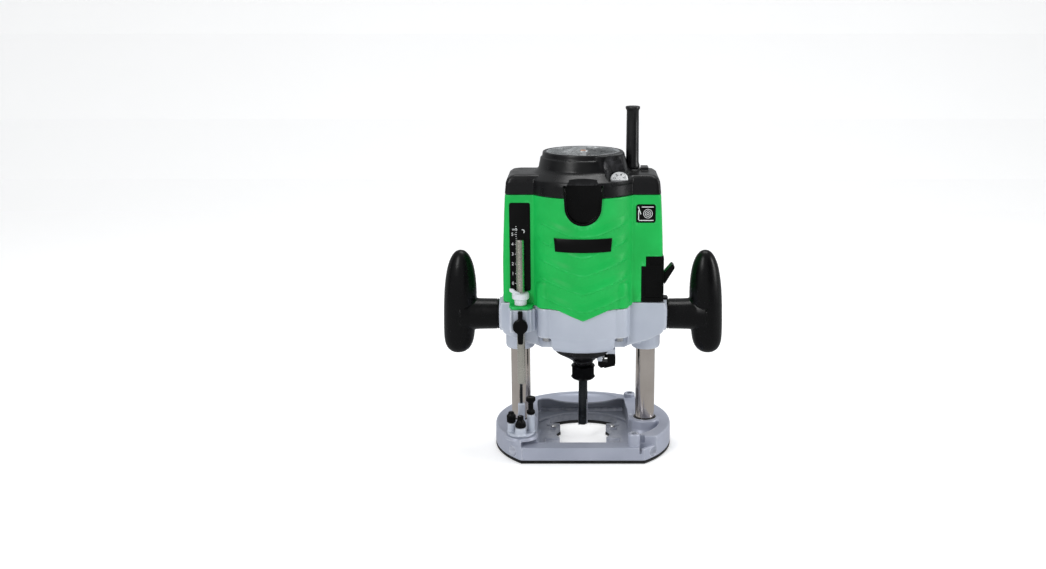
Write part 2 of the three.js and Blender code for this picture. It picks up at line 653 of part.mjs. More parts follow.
function switchLever() {
  const outline = [
    [81.4, 170.6], [82.4, 168.6], [84.6, 169.6], [93.2, 188], [93.2, 191.5], [89.5, 193.6], [87, 188],
  ];
  return slab(outline, -27, -13);
}

function addHousing() {
  add("housing", housing(), FINISH.green);
  add("switch_body", switchBody(), FINISH.black);
  add("switch_lever", switchLever(), FINISH.black);
  for (const [name, size] of Object.entries({ scale_plate: SCALE, badge_plate: BADGE })) {
    const plate = block(
      [size.left, -WING.y - 0.2, size.low],
      [size.right, -WING.y + size.thickness, size.high],
    );
    add(name, plate, FINISH.black);
  }
  add("name_plate", namePlateBand(0), FINISH.black);
}

// ---- tail cover ----
function dialSolid(grow, depth) {
  const { x, y, z, radius, thickness, tilt } = DIAL;
  const height = thickness + depth;
  const geometry = new THREE.CylinderGeometry(radius + grow, radius + grow, height, 28);
  geometry.translate(0, -depth / 2 + grow / 2, 0);
  geometry.rotateX(Math.PI / 2 + tilt);
  geometry.translate(x, y, z);
  return toSolid(geometry);
}

// The round middle of the cap, a sloping shoulder up to the tower that holds the grille.
function capForm() {
  const { bottom, collar, shoulder, top } = CAP;
  const { foot, top: towerTop } = TOWER;
  return turned([
    [0, bottom], [SHELL.radius, bottom], [SHELL.radius - 1, collar - 2], [SHELL.radius - 3, collar],
    [foot + 2, shoulder - 1], [foot, shoulder], [towerTop + 2.4, top - 5.8], [towerTop + 0.6, top - 5.2],
    [towerTop, top], [0, top],
  ], 0, 0, 40);
}

function capWings() {
  const { bottom, collar, wing } = CAP;
  const { x, y } = WING;
  const trim = slab([
    [-x, bottom - 1], [x, bottom - 1], [x - 2, collar - 2], [x - 7.6, wing + 1],
    [-x + 7.6, wing + 1], [-x + 2, collar - 2],
  ], -2 * y, 2 * y);
  return prism(wingOutline(-1), bottom, wing, CORNER_STEPS).intersect(trim);
}

function capHollow() {
  const { bottom, collar, shoulder, wing, top } = CAP;
  const inside = SHELL.radius - SHELL.wall;
  const centre = turned([
    [0, bottom - 1], [inside, bottom - 1], [inside - 1, collar - 3], [40, shoulder - 3], [36, top - 7.8],
    [34, top - 4.3], [TOWER.bore, top - 4.3], [TOWER.bore, top + 1], [0, top + 1],
  ], 0, 0, 36);
  const underDial = block([22, -38, bottom - 20], [56, -20, top]);
  return centre.add(prism(wingOutline(-5), bottom - 1, wing - 3.5, CORNER_STEPS).subtract(underDial));
}

// Three arms from the wall to the seat of the upper bearing.
function bearingSpider() {
  const arms = [0, 1, 2].map((i) => {
    const arm = new THREE.BoxGeometry(46, 6, 6);
    arm.translate(36, 0, BEARING.upperBottom + 2.5);
    arm.rotateZ(Math.PI / 2 + (i * 2 * Math.PI) / 3);
    return toSolid(arm);
  });
  const low = BEARING.upperBottom - 0.5;
  const reach = cylinder(SHELL.radius - 2, low - 5, low + 10, 0, 0, 32);
  return union(arms).intersect(reach).add(cylinder(BEARING.upperRadius + 4, low, low + 12, 0, 0, 28));
}

function tailCover() {
  const { shoulder, wing, top } = CAP;
  const { x, y, seat } = CORD_GUARD;
  const guardSeat = cylinder(9, wing - 6, wing + 2.5, x, y);
  const facet = slab([[14, shoulder + 0.5], [34, shoulder + 0.5], [34, top + 2], [14, top + 2]], -60, -37.5);
  const shell = union([capForm(), capWings(), guardSeat]).subtract(capHollow());
  return cut(union([shell, bearingSpider()]), [
    facet,
    cylinder(BEARING.upperRadius + GAP, CAP.bottom - 8, BEARING.upperBottom + 8.5, 0, 0, 28),
    slab(visorOutline(GAP), -70, -SHELL.radius + VISOR.depth + GAP),
    dialSolid(GAP, 6),
    cylinder(6.4, CAP.bottom, seat + 10, x, y),
    cylinder(7.9, seat - GAP, seat + 10, x, y),
  ]);
}

function frontCover() {
  const back = -SHELL.radius + VISOR.depth;
  const shape = slab(visorOutline(0), -SHELL.radius + 0.4, back);
  const lip = block([-30, -70, VISOR.high - 2.5], [30, -30, VISOR.high + 20]);
  return shape.subtract(slab(visorOutline(-2.5), -SHELL.radius - 2, back - 3).subtract(lip));
}

function ventGrille() {
  const [bottom, top] = [CAP.top - 4, CAP.top - GAP];
  const slots = [];
  for (let x = -24; x <= 24; x += 8) {
    const reach = Math.sqrt(32 ** 2 - x ** 2);
    slots.push(block([x - 2, -reach, bottom - 1], [x + 2, -3.5, top + 1]));
    slots.push(block([x - 2, 3.5, bottom - 1], [x + 2, reach, top + 1]));
  }
  const disc = cylinder(TOWER.bore - GAP, bottom, top, 0, 0, 36);
  return cut(disc, slots).add(cylinder(4, bottom, top + 0.5, 0, 0, 16));
}

function cordGuard() {
  const { x, y, bottom, seat, top, bore } = CORD_GUARD;
  const outer = turned([
    [0, bottom], [6.1, bottom], [6.1, seat], [7.6, seat], [7.4, seat + 2.6], [6.9, seat + 4.6],
    [6.2, top - 4], [7.2, top - 2.6], [7.2, top], [0, top],
  ], x, y, 18);
  return outer.subtract(cylinder(bore, bottom - 1, top + 1, x, y, 16));
}

function addTailCover() {
  add("tail_cover", tailCover(), FINISH.black);
  add("front_cover", frontCover(), FINISH.black);
  add("vent_grille", ventGrille(), FINISH.darkSteel);
  add("cord_guard", cordGuard(), FINISH.rubber);
  add("speed_dial", dialSolid(0, 0), FINISH.white);
}

// ---- motor ----
function fan() {
  const blades = [];
  const count = 7;
  const low = MOTOR.fan;
  for (let i = 0; i < count; i += 1) {
    const blade = new THREE.BoxGeometry(30, 2, 9);
    blade.translate(27, 0, low + 7);
    blade.rotateZ((i * 2 * Math.PI) / count);
    blades.push(toSolid(blade));
  }
  const disc = union([cylinder(42, low, low + 3.5, 0, 0, 24), cylinder(13, low, low + 11.5), ...blades]);
  return disc.subtract(cylinder(MOTOR.shaft + GAP, low - 8, low + 17));
}

function collarNut() {
  const { flats, bottom, top } = NUT;
  const hexagon = cylinder(flats / Math.sqrt(3), bottom, top, 0, 0, 6);
  const round = turned([
    [0, bottom], [9.5, bottom], [12.9, bottom + 4], [12.9, top - 1], [12, top], [0, top],
  ], 0, 0, 24);
  return cut(hexagon.intersect(round), [
    cylinder(8.3, bottom + 4.5, top + 1, 0, 0, 24),
    cylinder(BIT.shank + GAP, bottom - 9, bottom + 11, 0, 0, 20),
  ]);
}

function routerBit() {
  const { radius, tip, shank, flutesTop, top } = BIT;
  const cutting = cylinder(radius, tip, flutesTop, 0, 0, 24);
  const body = cutting.add(cylinder(shank, flutesTop - 1, top, 0, 0, 20));
  return cut(body, [
    block([1.4, -8, tip - 1], [8, -0.6, flutesTop - 2]),
    block([-8, 0.6, tip - 1], [-1.4, 8, flutesTop - 2]),
  ]);
}

function armatureShaft() {
  const { shaft } = MOTOR;
  const seat = BEARING.upperBottom - 10.5;
  return turned([
    [0, NUT.bottom + 16], [shaft, NUT.bottom + 16], [shaft, NUT.top + 2], [7.4, NUT.top + 4],
    [7.4, BEARING.lowerTop + 2], [shaft, BEARING.lowerTop + 3.5], [shaft, seat - 2],
    [shaft - 1, seat], [shaft - 1, seat + 16], [0, seat + 16],
  ], 0, 0, 16);
}

function addMotor() {
  const { coreBottom, coreTop, brushBottom, brushTop, shaft } = MOTOR;
  const { lowerRadius, lowerBottom, lowerTop, upperRadius, upperBottom } = BEARING;
  const bore = shaft + GAP;
  add("armature_shaft", armatureShaft(), FINISH.steel);
  add("armature_core", ring(26, bore, coreBottom, coreTop), FINISH.laminations);
  add("commutator", ring(15, bore, brushBottom - 2, brushTop + 2), FINISH.copper);
  add("fan", fan(), FINISH.black);
  add("bearing_lower", ring(lowerRadius, 7.7, lowerBottom, lowerTop), FINISH.steel);
  add("bearing_upper", ring(upperRadius, shaft - 0.7, upperBottom, upperBottom + 8), FINISH.steel);
  add("field_core", ring(46, 28, coreBottom, coreTop, 0, 0, 40), FINISH.laminations);
  add("collet", ring(8, BIT.shank + GAP, NUT.bottom + 4.8, BIT.top + 0.6), FINISH.steel);
  add("collet_nut", collarNut(), FINISH.darkSteel);
  add("router_bit", routerBit(), FINISH.darkSteel);
  forSides((name, side) => {
    const [near, far] = [side * 15.4, side * 32].sort((a, b) => a - b);
    add(`brush_${name}`, block([near, -4, brushBottom], [far, 4, brushTop]), FINISH.carbon);
  });
}

addBase();
addTurret();
addDepthStop();
addBracket();
addHousing();
addTailCover();
addMotor();

export default router;
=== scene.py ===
"""A plunge router at rest on a pale studio floor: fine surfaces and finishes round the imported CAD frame.

Shapes are made in millimetres, measured from the spindle axis as the CAD part is, and are scaled and
set back onto the frame when they are finished.
"""
import json
import math

import bmesh
import bpy
from mathutils import Matrix, Vector


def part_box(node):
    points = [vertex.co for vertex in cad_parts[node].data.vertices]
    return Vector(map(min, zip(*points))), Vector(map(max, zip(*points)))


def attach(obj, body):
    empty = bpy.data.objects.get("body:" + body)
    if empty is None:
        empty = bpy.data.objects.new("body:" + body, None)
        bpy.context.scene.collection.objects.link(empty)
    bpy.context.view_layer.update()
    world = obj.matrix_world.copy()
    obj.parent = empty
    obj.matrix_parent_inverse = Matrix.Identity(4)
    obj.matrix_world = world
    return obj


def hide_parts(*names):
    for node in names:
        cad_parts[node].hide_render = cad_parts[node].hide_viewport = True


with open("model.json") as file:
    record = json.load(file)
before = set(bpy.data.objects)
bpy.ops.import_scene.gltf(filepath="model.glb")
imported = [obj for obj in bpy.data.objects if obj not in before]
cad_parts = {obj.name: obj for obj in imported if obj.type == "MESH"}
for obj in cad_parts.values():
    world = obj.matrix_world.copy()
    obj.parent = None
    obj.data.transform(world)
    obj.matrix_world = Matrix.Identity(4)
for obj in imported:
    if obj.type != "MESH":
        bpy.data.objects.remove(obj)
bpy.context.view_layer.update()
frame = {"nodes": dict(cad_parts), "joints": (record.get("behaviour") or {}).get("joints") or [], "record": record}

MM = 0.001
SHAFT_LOW, SHAFT_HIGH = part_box("armature_shaft")
SPINDLE_Y = (SHAFT_LOW.y + SHAFT_HIGH.y) / 2
TO_FRAME = Matrix.Translation((0, SPINDLE_Y, 0)) @ Matrix.Scale(MM, 4)
FROM_FRAME = TO_FRAME.inverted()
TURN = 2 * math.pi


def cad(node):
    """A node's lowest and highest corners in millimetres from the spindle axis."""
    return [FROM_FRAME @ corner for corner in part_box(node)]


def middle(node):
    low, high = cad(node)
    return (low + high) / 2


# ---- outlines: closed lists of points in a plane ----
def arc(x, y, radius, start, end, steps=12):
    """Points on a circle between two angles in degrees."""
    angles = [math.radians(start + (end - start) * i / steps) for i in range(steps + 1)]
    return [(x + radius * math.cos(a), y + radius * math.sin(a)) for a in angles]


def rounded(points, radius, steps=5):
    """A polygon with its corners rounded off by quadratic bends."""
    out = []
    count = len(points)
    for i, corner in enumerate(points):
        here = Vector(corner)
        before, after = Vector(points[i - 1]), Vector(points[(i + 1) % count])
        reach = min(radius, (before - here).length / 2.02, (after - here).length / 2.02)
        a = here + (before - here).normalized() * reach
        b = here + (after - here).normalized() * reach
        for k in range(steps + 1):
            t = k / steps
            out.append(tuple(a * (1 - t) ** 2 + here * (2 * t * (1 - t)) + b * t**2))
    return out


def rectangle(left, right, low, high, radius=0.0, steps=5):
    corners = [(left, low), (right, low), (right, high), (left, high)]
    return rounded(corners, radius, steps) if radius else corners


def smooth(points, steps=6):
    """A curve that passes through every point."""
    ends = [Vector(p) for p in [points[0]] + points + [points[-1]]]
    out = []
    for a, b, c, d in zip(ends, ends[1:], ends[2:], ends[3:]):
        for k in range(steps):
            t = k / steps
            bend = (2 * a - 5 * b + 4 * c - d) * t**2 + (3 * b - a - 3 * c + d) * t**3
            out.append(tuple((2 * b + (c - a) * t + bend) / 2))
    return out + [tuple(points[-1])]


def spun(profile, x, y, sides):
    """One circle of points for each (radius, height) point of a profile."""
    turns = [TURN * i / sides for i in range(sides)]
    radii = [(max(radius, 0.01), z) for radius, z in profile]
    return [[(x + r * math.cos(a), y + r * math.sin(a), z) for a in turns] for r, z in radii]


# ---- solids ----
class Solid:
    """Closed forms gathered in one mesh."""

    def __init__(self):
        self.mesh = bmesh.new()

    def rows(self, loops, closed):
        """Walls through loops of equal length; a closed row of loops ends where it started."""
        rows = [[self.mesh.verts.new(p) for p in loop] for loop in loops]
        count = len(rows[0])
        for low, high in zip(rows, rows[1:] + rows[:1] if closed else rows[1:]):
            for i in range(count):
                j = (i + 1) % count
                self.mesh.faces.new((low[i], low[j], high[j], high[i]))
        return rows

    def skin(self, loops):
        """A skin through loops of equal length, closed by a cap at each end."""
        rows = self.rows(loops, False)
        self.mesh.faces.new(rows[0][::-1])
        self.mesh.faces.new(rows[-1])
        return self

    def hoop(self, profile, x=0.0, y=0.0, sides=96):
        """A closed profile of (radius, height) points turned into a ring about a vertical axis."""
        self.rows(spun(profile, x, y, sides), True)
        return self

    def prism(self, plan, low, high):
        """A plan of (x, y) points raised from low to high."""
        return self.skin([[(x, y, z) for x, y in plan] for z in (low, high)])

    def loft(self, levels):
        """Plans of equal length, each at its own height."""
        return self.skin([[(x, y, z) for x, y in plan] for z, plan in levels])

    def slab(self, outline, front, back):
        """An outline of (x, z) points run from front to back."""
        return self.skin([[(x, y, z) for x, z in outline] for y in (front, back)])

    def bar(self, outline, left, right):
        """An outline of (y, z) points run from left to right."""
        return self.skin([[(x, y, z) for y, z in outline] for x in (left, right)])

    def box(self, low, high):
        return self.prism(rectangle(low[0], high[0], low[1], high[1]), low[2], high[2])

    def turn(self, profile, x=0.0, y=0.0, sides=96):
        """A profile of (radius, height) points turned about a vertical axis."""
        return self.skin(spun(profile, x, y, sides))

    def rod(self, radius, start, end, sides=48, end_radius=None):
        """A round bar between two points."""
        return self.lathe([(radius, 0.0), (end_radius or radius, 1.0)], start, end, sides)

    def lathe(self, profile, start, end, sides=64):
        """A profile of (radius, share of the way) points turned about the line from start to end."""
        start, end = Vector(start), Vector(end)
        along = end - start
        side = along.orthogonal().normalized()
        other = along.normalized().cross(side)
        loops = []
        for radius, share in profile:
            r = max(radius, 0.01)
            spin = [TURN * i / sides for i in range(sides)]
            loops.append([start + along * share + (side * math.cos(a) + other * math.sin(a)) * r
                          for a in spin])
        return self.skin(loops)


def to_object(name, solid):
    bmesh.ops.recalc_face_normals(solid.mesh, faces=solid.mesh.faces)
    mesh = bpy.data.meshes.new(name)
    solid.mesh.to_mesh(mesh)
    solid.mesh.free()
    piece = bpy.data.objects.new(name, mesh)
    bpy.context.scene.collection.objects.link(piece)
    return piece


def modifier(piece, kind, **settings):
    added = piece.modifiers.new(kind.lower(), kind)
    for key, value in settings.items():
        setattr(added, key, value)
    return added


def apply_all(piece):
    bpy.context.view_layer.update()
    graph = bpy.context.evaluated_depsgraph_get()
    mesh = bpy.data.meshes.new_from_object(piece.evaluated_get(graph))
    old = piece.data
    piece.modifiers.clear()
    piece.data = mesh
    bpy.data.meshes.remove(old)
    return piece


def fuse(piece, voxel=0.8, relax=5):
    """Melts overlapping closed forms into one skin with softened edges, like a casting or a moulding."""
    modifier(piece, "REMESH", mode="VOXEL", voxel_size=voxel)
    modifier(piece, "SMOOTH", factor=0.5, iterations=relax)
    return apply_all(piece)


def thin(piece, faces):
    """Fewer triangles where the surface is flat, down to about that many faces."""
    modifier(piece, "TRIANGULATE")
    apply_all(piece)
    count = len(piece.data.polygons)
    if count > faces:
        modifier(piece, "DECIMATE", ratio=faces / count)
        apply_all(piece)
    return piece


def combine(piece, other, operation):
    """A boolean with a solid or with another piece, which is used up."""
    tool = other if isinstance(other, bpy.types.Object) else to_object("tool", other)
    modifier(piece, "BOOLEAN", object=tool, operation=operation, solver="EXACT")
    apply_all(piece)
    bpy.data.objects.remove(tool)
    return piece


def cut(piece, other):
    return combine(piece, other, "DIFFERENCE")


def soften(piece, width, segments=3, angle=30):
    """Rounds the hard edges of a plain form."""
    modifier(piece, "BEVEL", width=width, segments=segments, limit_method="ANGLE",
             angle_limit=math.radians(angle), use_clamp_overlap=True)
    return apply_all(piece)


def settle(piece, body, finish, nodes=(), sharp=40):
    """Puts a finished piece on the frame: its place, finish, body and the nodes it stands for."""
    piece.data.transform(TO_FRAME)
    piece.data.materials.clear()
    piece.data.materials.append(finish)
    piece.data.shade_smooth()
    piece.data.set_sharp_from_angle(angle=math.radians(sharp))
    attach(piece, body)
    if nodes:
        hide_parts(*nodes)
    return piece


# ---- finishes ----
class Finish:
    """A principled material with helpers for grain, wear and mottling in object space."""

    def __init__(self, name, roughness, metallic=0.0, **sockets):
        self.material = bpy.data.materials.new(name)
        self.material.use_nodes = True
        self.nodes = self.material.node_tree.nodes
        self.links = self.material.node_tree.links
        self.shader = self.nodes["Principled BSDF"]
        self.shader.inputs["Roughness"].default_value = roughness
        self.shader.inputs["Metallic"].default_value = metallic
        for socket, value in sockets.items():
            self.shader.inputs[socket.replace("_", " ")].default_value = value
        self.place = self.nodes.new("ShaderNodeTexCoord").outputs["Object"]

    def join(self, output, target):
        self.links.new(output, target)

    def noise(self, scale, detail=3.0, stretch=None):
        node = self.nodes.new("ShaderNodeTexNoise")
        node.inputs["Scale"].default_value = scale
        node.inputs["Detail"].default_value = detail
        place = self.place
        if stretch:
            mapping = self.nodes.new("ShaderNodeMapping")
            mapping.inputs["Scale"].default_value = stretch
            self.join(self.place, mapping.inputs["Vector"])
            place = mapping.outputs["Vector"]
        self.join(place, node.inputs["Vector"])
        return node.outputs["Fac"]

    def spread(self, value, low, high, start=0.3, end=0.7):
        node = self.nodes.new("ShaderNodeMapRange")
        self.join(value, node.inputs["Value"])
        for key, number in (("From Min", start), ("From Max", end), ("To Min", low), ("To Max", high)):
            node.inputs[key].default_value = number
        return node.outputs["Result"]

    def edges(self, start=0.51, end=0.56):
        """1 on convex edges, 0 on flats and in hollows."""
        geometry = self.nodes.new("ShaderNodeNewGeometry")
        return self.spread(geometry.outputs["Pointiness"], 0.0, 1.0, start, end)

    def mix(self, share, first, second):
        node = self.nodes.new("ShaderNodeMix")
        node.data_type = "RGBA"
        self.join(share, node.inputs["Factor"])
        for value, socket in ((first, node.inputs["A"]), (second, node.inputs["B"])):
            if isinstance(value, tuple):
                socket.default_value = (*value, 1.0)
            else:
                self.join(value, socket)
        return node.outputs["Result"]

    def times(self, first, second):
        node = self.nodes.new("ShaderNodeMath")
        node.operation = "MULTIPLY"
        self.join(first, node.inputs[0])
        if isinstance(second, (int, float)):
            node.inputs[1].default_value = second
        else:
            self.join(second, node.inputs[1])
        return node.outputs["Value"]

    def colour(self, output):
        self.join(output, self.shader.inputs["Base Color"])

    def roughness(self, output):
        self.join(output, self.shader.inputs["Roughness"])

    def bump(self, height, distance, strength=1.0, after=None):
        node = self.nodes.new("ShaderNodeBump")
        node.inputs["Strength"].default_value = strength
        node.inputs["Distance"].default_value = distance
        self.join(height, node.inputs["Height"])
        if after:
            self.join(after, node.inputs["Normal"])
        self.join(node.outputs["Normal"], self.shader.inputs["Normal"])
        return node.outputs["Normal"]


def moulded(name, dark, light, roughness=0.4, grain=0.00002, worn=None, **sockets):
    """Moulded plastic or rubber: fine spark-eroded grain, slight mottling, paler rubbed edges."""
    finish = Finish(name, roughness, **sockets)
    body = finish.mix(finish.spread(finish.noise(35.0), 0.0, 1.0), dark, light)
    if worn:
        scuffed = finish.times(finish.edges(), finish.spread(finish.noise(160.0, 4.0), 0.0, 0.7, 0.4, 0.65))
        body = finish.mix(scuffed, body, worn)
    finish.colour(body)
    finish.roughness(finish.spread(finish.noise(90.0, 5.0), roughness - 0.06, roughness + 0.08))
    fine = finish.bump(finish.noise(2600.0, 2.0), grain)
    finish.bump(finish.noise(260.0, 2.0), grain * 2, 0.5, fine)
    return finish.material


def lacquer(finish, dark, light, bare, roughness):
    """Silver-grey lacquer over die-cast aluminium: cast texture, cloudy tone, bright rubbed edges."""
    body = finish.mix(finish.spread(finish.noise(22.0, 4.0), 0.0, 1.0), dark, light)
    worn = finish.spread(finish.noise(220.0, 4.0), 0.2, 0.8, 0.35, 0.6)
    rubbed = finish.times(finish.edges(0.51, 0.56), worn)
    finish.roughness(finish.spread(finish.noise(140.0, 5.0), roughness - 0.06, roughness + 0.08))
    fine = finish.bump(finish.noise(1500.0, 3.0), 0.00002)
    finish.bump(finish.noise(180.0, 3.0), 0.00004, 0.6, fine)
    return finish.mix(rubbed, body, bare)


def cast(name, dark, light, bare, roughness=0.42, metallic=0.25):
    finish = Finish(name, roughness, metallic, Specular_IOR_Level=0.35)
    finish.colour(lacquer(finish, dark, light, bare, roughness))
    return finish.material


def well_shaded(name, dark, light, bare, roughness=0.42, metallic=0.25):
    """The base's lacquer, with painted shade that darkens the inside of the well, most towards the back."""
    finish = Finish(name, roughness, metallic, Specular_IOR_Level=0.35)
    body = lacquer(finish, dark, light, bare, roughness)
    # painted shade: a dark tone mixed in below the rim, inside the well and more towards its back, where shade
    # falls
    axes = finish.nodes.new("ShaderNodeSeparateXYZ")
    finish.join(finish.place, axes.inputs["Vector"])
    low = finish.spread(axes.outputs["Z"], 1.0, 0.0, 0.0222, 0.0238)
    behind = finish.spread(axes.outputs["Y"], 0.0, 0.82, -0.055, 0.045)
    inside = finish.spread(axes.outputs["Y"], 1.0, 0.0, 0.0562, 0.0572)
    reach = finish.nodes.new("ShaderNodeMath")
    reach.operation = "ABSOLUTE"
    finish.join(axes.outputs["X"], reach.inputs[0])
    across = finish.spread(reach.outputs["Value"], 1.0, 0.0, 0.0505, 0.0525)
    depth = finish.times(finish.times(low, behind), finish.times(inside, across))
    finish.colour(finish.mix(depth, body, (0.075, 0.082, 0.10)))
    return finish.material


def machined(name, dark, light, roughness=0.22, stretch=(1.0, 1.0, 40.0), scale=120.0, depth=0.000006):
    """Ground or turned steel with fine marks along one direction."""
    finish = Finish(name, roughness, 1.0)
    marks = finish.noise(scale, 4.0, stretch)
    finish.colour(finish.mix(finish.spread(finish.noise(40.0, 3.0), 0.0, 1.0), dark, light))
    finish.roughness(finish.spread(marks, roughness * 0.7, roughness * 1.4))
    finish.bump(marks, depth, 0.6)
    return finish.material


GREEN = moulded("green_nylon", (0.006, 0.40, 0.066), (0.010, 0.47, 0.085), 0.42, 0.000006,
                (0.06, 0.55, 0.17), Specular_IOR_Level=0.22)
BLACK = moulded("black_nylon", (0.0035, 0.0035, 0.004), (0.0055, 0.0055, 0.0062), 0.3, 0.000006,
                (0.05, 0.05, 0.055), Specular_IOR_Level=0.32)
GRIP = moulded("black_grip", (0.002, 0.002, 0.0022), (0.003, 0.003, 0.0033), 0.27, 0.000002,
               (0.012, 0.012, 0.013), Specular_IOR_Level=0.2)
RUBBER = moulded("black_rubber", (0.005, 0.005, 0.0055), (0.008, 0.008, 0.0085), 0.3, 0.000005,
                 (0.04, 0.04, 0.04), Specular_IOR_Level=0.42)
SOLE = moulded("black_sole", (0.003, 0.003, 0.0033), (0.005, 0.005, 0.0055), 0.45, 0.00001,
               (0.03, 0.03, 0.03), Specular_IOR_Level=0.3)
LABEL = moulded("black_label", (0.0015, 0.0015, 0.0015), (0.0025, 0.0025, 0.0025), 0.35, 0.000003,
                Specular_IOR_Level=0.15)
PRINT = moulded("white_print", (0.70, 0.70, 0.72), (0.82, 0.82, 0.84), 0.5, 0.000003)
WHITE = moulded("white_acetal", (0.62, 0.66, 0.70), (0.72, 0.75, 0.79), 0.38, 0.000006, (0.82, 0.82, 0.84))
BRACKET = cast("lacquered_bracket", (0.46, 0.50, 0.585), (0.53, 0.57, 0.655), (0.72, 0.75, 0.80))
# the base's lacquer, with painted shade inside the well
BASE_LACQUER_PAINTED_SHADE = well_shaded("lacquered_base_painted_well_shade", (0.36, 0.385, 0.47), (0.43, 0.455, 0.545), (0.64, 0.66, 0.73))
CHROME = machined("ground_steel", (0.70, 0.63, 0.57), (0.80, 0.73, 0.67), 0.15, (1.0, 1.0, 12.0), 500.0,
    0.000001)
ZINC = machined("zinc_plate", (0.55, 0.55, 0.56), (0.70, 0.70, 0.70), 0.3, (1.0, 1.0, 8.0), 300.0)
OXIDE = machined("black_oxide", (0.018, 0.018, 0.02), (0.045, 0.045, 0.05), 0.38, (1.0, 1.0, 12.0), 260.0)
CARBIDE = machined("cutter_steel", (0.025, 0.028, 0.03), (0.07, 0.075, 0.08), 0.3, (1.0, 1.0, 10.0), 260.0)
COPPER = machined("turned_copper", (0.65, 0.30, 0.16), (0.80, 0.42, 0.24), 0.3, (1.0, 1.0, 30.0))
SHEETS = machined("stacked_sheets", (0.16, 0.16, 0.17), (0.30, 0.30, 0.31), 0.45, (1.0, 1.0, 90.0), 60.0,
    0.00003)
GRILLE = machined("grille_metal", (0.42, 0.44, 0.45), (0.66, 0.68, 0.69), 0.34, (1.0, 1.0, 1.0), 300.0,
    0.00001)
CARBON = moulded("pressed_carbon", (0.02, 0.02, 0.02), (0.035, 0.035, 0.035), 0.6, 0.00004)


def speckled():
    """White acetal with grey specks."""
    finish = Finish("speckled_acetal", 0.42)
    specks = finish.spread(finish.noise(900.0, 2.0), 0.0, 1.0, 0.56, 0.66)
    finish.colour(finish.mix(specks, (0.74, 0.75, 0.76), (0.30, 0.31, 0.32)))
    finish.bump(finish.noise(1800.0, 2.0), 0.00002)
    return finish.material


SPECKLED = speckled()
GLOSS_BLACK = moulded("gloss_black_nylon", (0.001, 0.001, 0.001), (0.002, 0.002, 0.002), 0.3, 0.000004,
                      Specular_IOR_Level=0.15)
NUT_BLACK = machined("nut_black_oxide", (0.006, 0.006, 0.0065), (0.012, 0.012, 0.013), 0.4,
    (1.0, 1.0, 12.0), 260.0)
ROD = machined("satin_rod", (0.62, 0.60, 0.53), (0.74, 0.72, 0.64), 0.28, (1.0, 1.0, 6.0), 200.0, 0.000001)


# ---- motor housing ----
WING_X, WING_Y, BULGE = 80.3, 31.0, 58.0
SHELL_LOW, SHELL_WING_LOW, SHELL_TOP = 156.0, 159.2, 268.0
BOLTS = [(x, y) for x in (-36.0, 36.0) for y in (-36.0, 36.0)]
COLUMN_X = 65.0
CHEVRON_TOP, CHEVRON_PITCH, CHEVRON_SLOPE = 229.0, 18.3, 0.36


def wing_plan(scale_x=1.0, inset=0.0, radius=5.0):
    x, y = WING_X * scale_x - inset, WING_Y - inset
    return rectangle(-x, x, -y, y, radius, 6)


def bulge_with_chevron(solid):
    """The round front of the housing, whose lower edge dips to a point in front."""
    sides = 240
    spin = [TURN * i / sides for i in range(sides)]

    def edge(a):
        x, front = BULGE * math.cos(a), math.sin(a) < 0
        return SHELL_LOW - max(0.0, (25.5 - abs(x)) * 0.392) * front

    low = [(BULGE * math.cos(a), BULGE * math.sin(a), edge(a)) for a in spin]
    high = [(BULGE * math.cos(a), BULGE * math.sin(a), SHELL_TOP) for a in spin]
    core = [(40 * math.cos(a), 40 * math.sin(a), SHELL_LOW + 6) for a in spin]
    solid.skin([core, [(x * 0.965, y * 0.965, z) for x, y, z in low], low, high])


def emboss(piece):
    """Raises the V-shaped ridges across the front of the housing, leaving the name plate's band flat."""
    plate_low, plate_high = cad("name_plate")
    for vertex in piece.data.vertices:
        x, y, z = vertex.co
        radius = math.hypot(x, y)
        if y > -25 or radius < BULGE - 2.5 or radius > BULGE + 6:
            continue
        fade = max(0.0, min(1.0, (44 - abs(x)) / 7))
        over = max(abs(x) - plate_high.x, z - plate_high.z, plate_low.z - z)
        fade *= max(0.0, min(1.0, (over - 0.8) / 2.5))
        bend = math.sqrt(x * x + 16) - 4
        height = 0.0
        for k in range(5):
            gap = z - (CHEVRON_TOP - CHEVRON_PITCH * k + CHEVRON_SLOPE * bend)
            reach = 8.0 if gap > 0 else 2.0
            height += 1.7 * max(0.0, 1 - (gap / reach) ** 2) ** 2
        vertex.co.x += vertex.co.x / radius * height * fade
        vertex.co.y += vertex.co.y / radius * height * fade


def visor_plan(grow):
    half, low, high = 19.2, 241.0, 280.5
    bend = arc(0, low + half - 0.5, half - 1.4 + grow, 180, 360, 20)
    return [(-half - grow, high)] + bend + [(half + grow, high)]


def switch_plan(grow):
    low, high, step = 159.4 - grow, 206 + grow, 196 + grow
    return [(58.5 - grow, low), (86, low), (86, high), (63 - grow, high), (63 - grow, step),
        (58.5 - grow, step)]


def plate_outline(node, grow=0.0, radius=2.5):
    low, high = cad(node)
    return rectangle(low.x - grow, high.x + grow, low.z - grow, high.z + grow, radius)


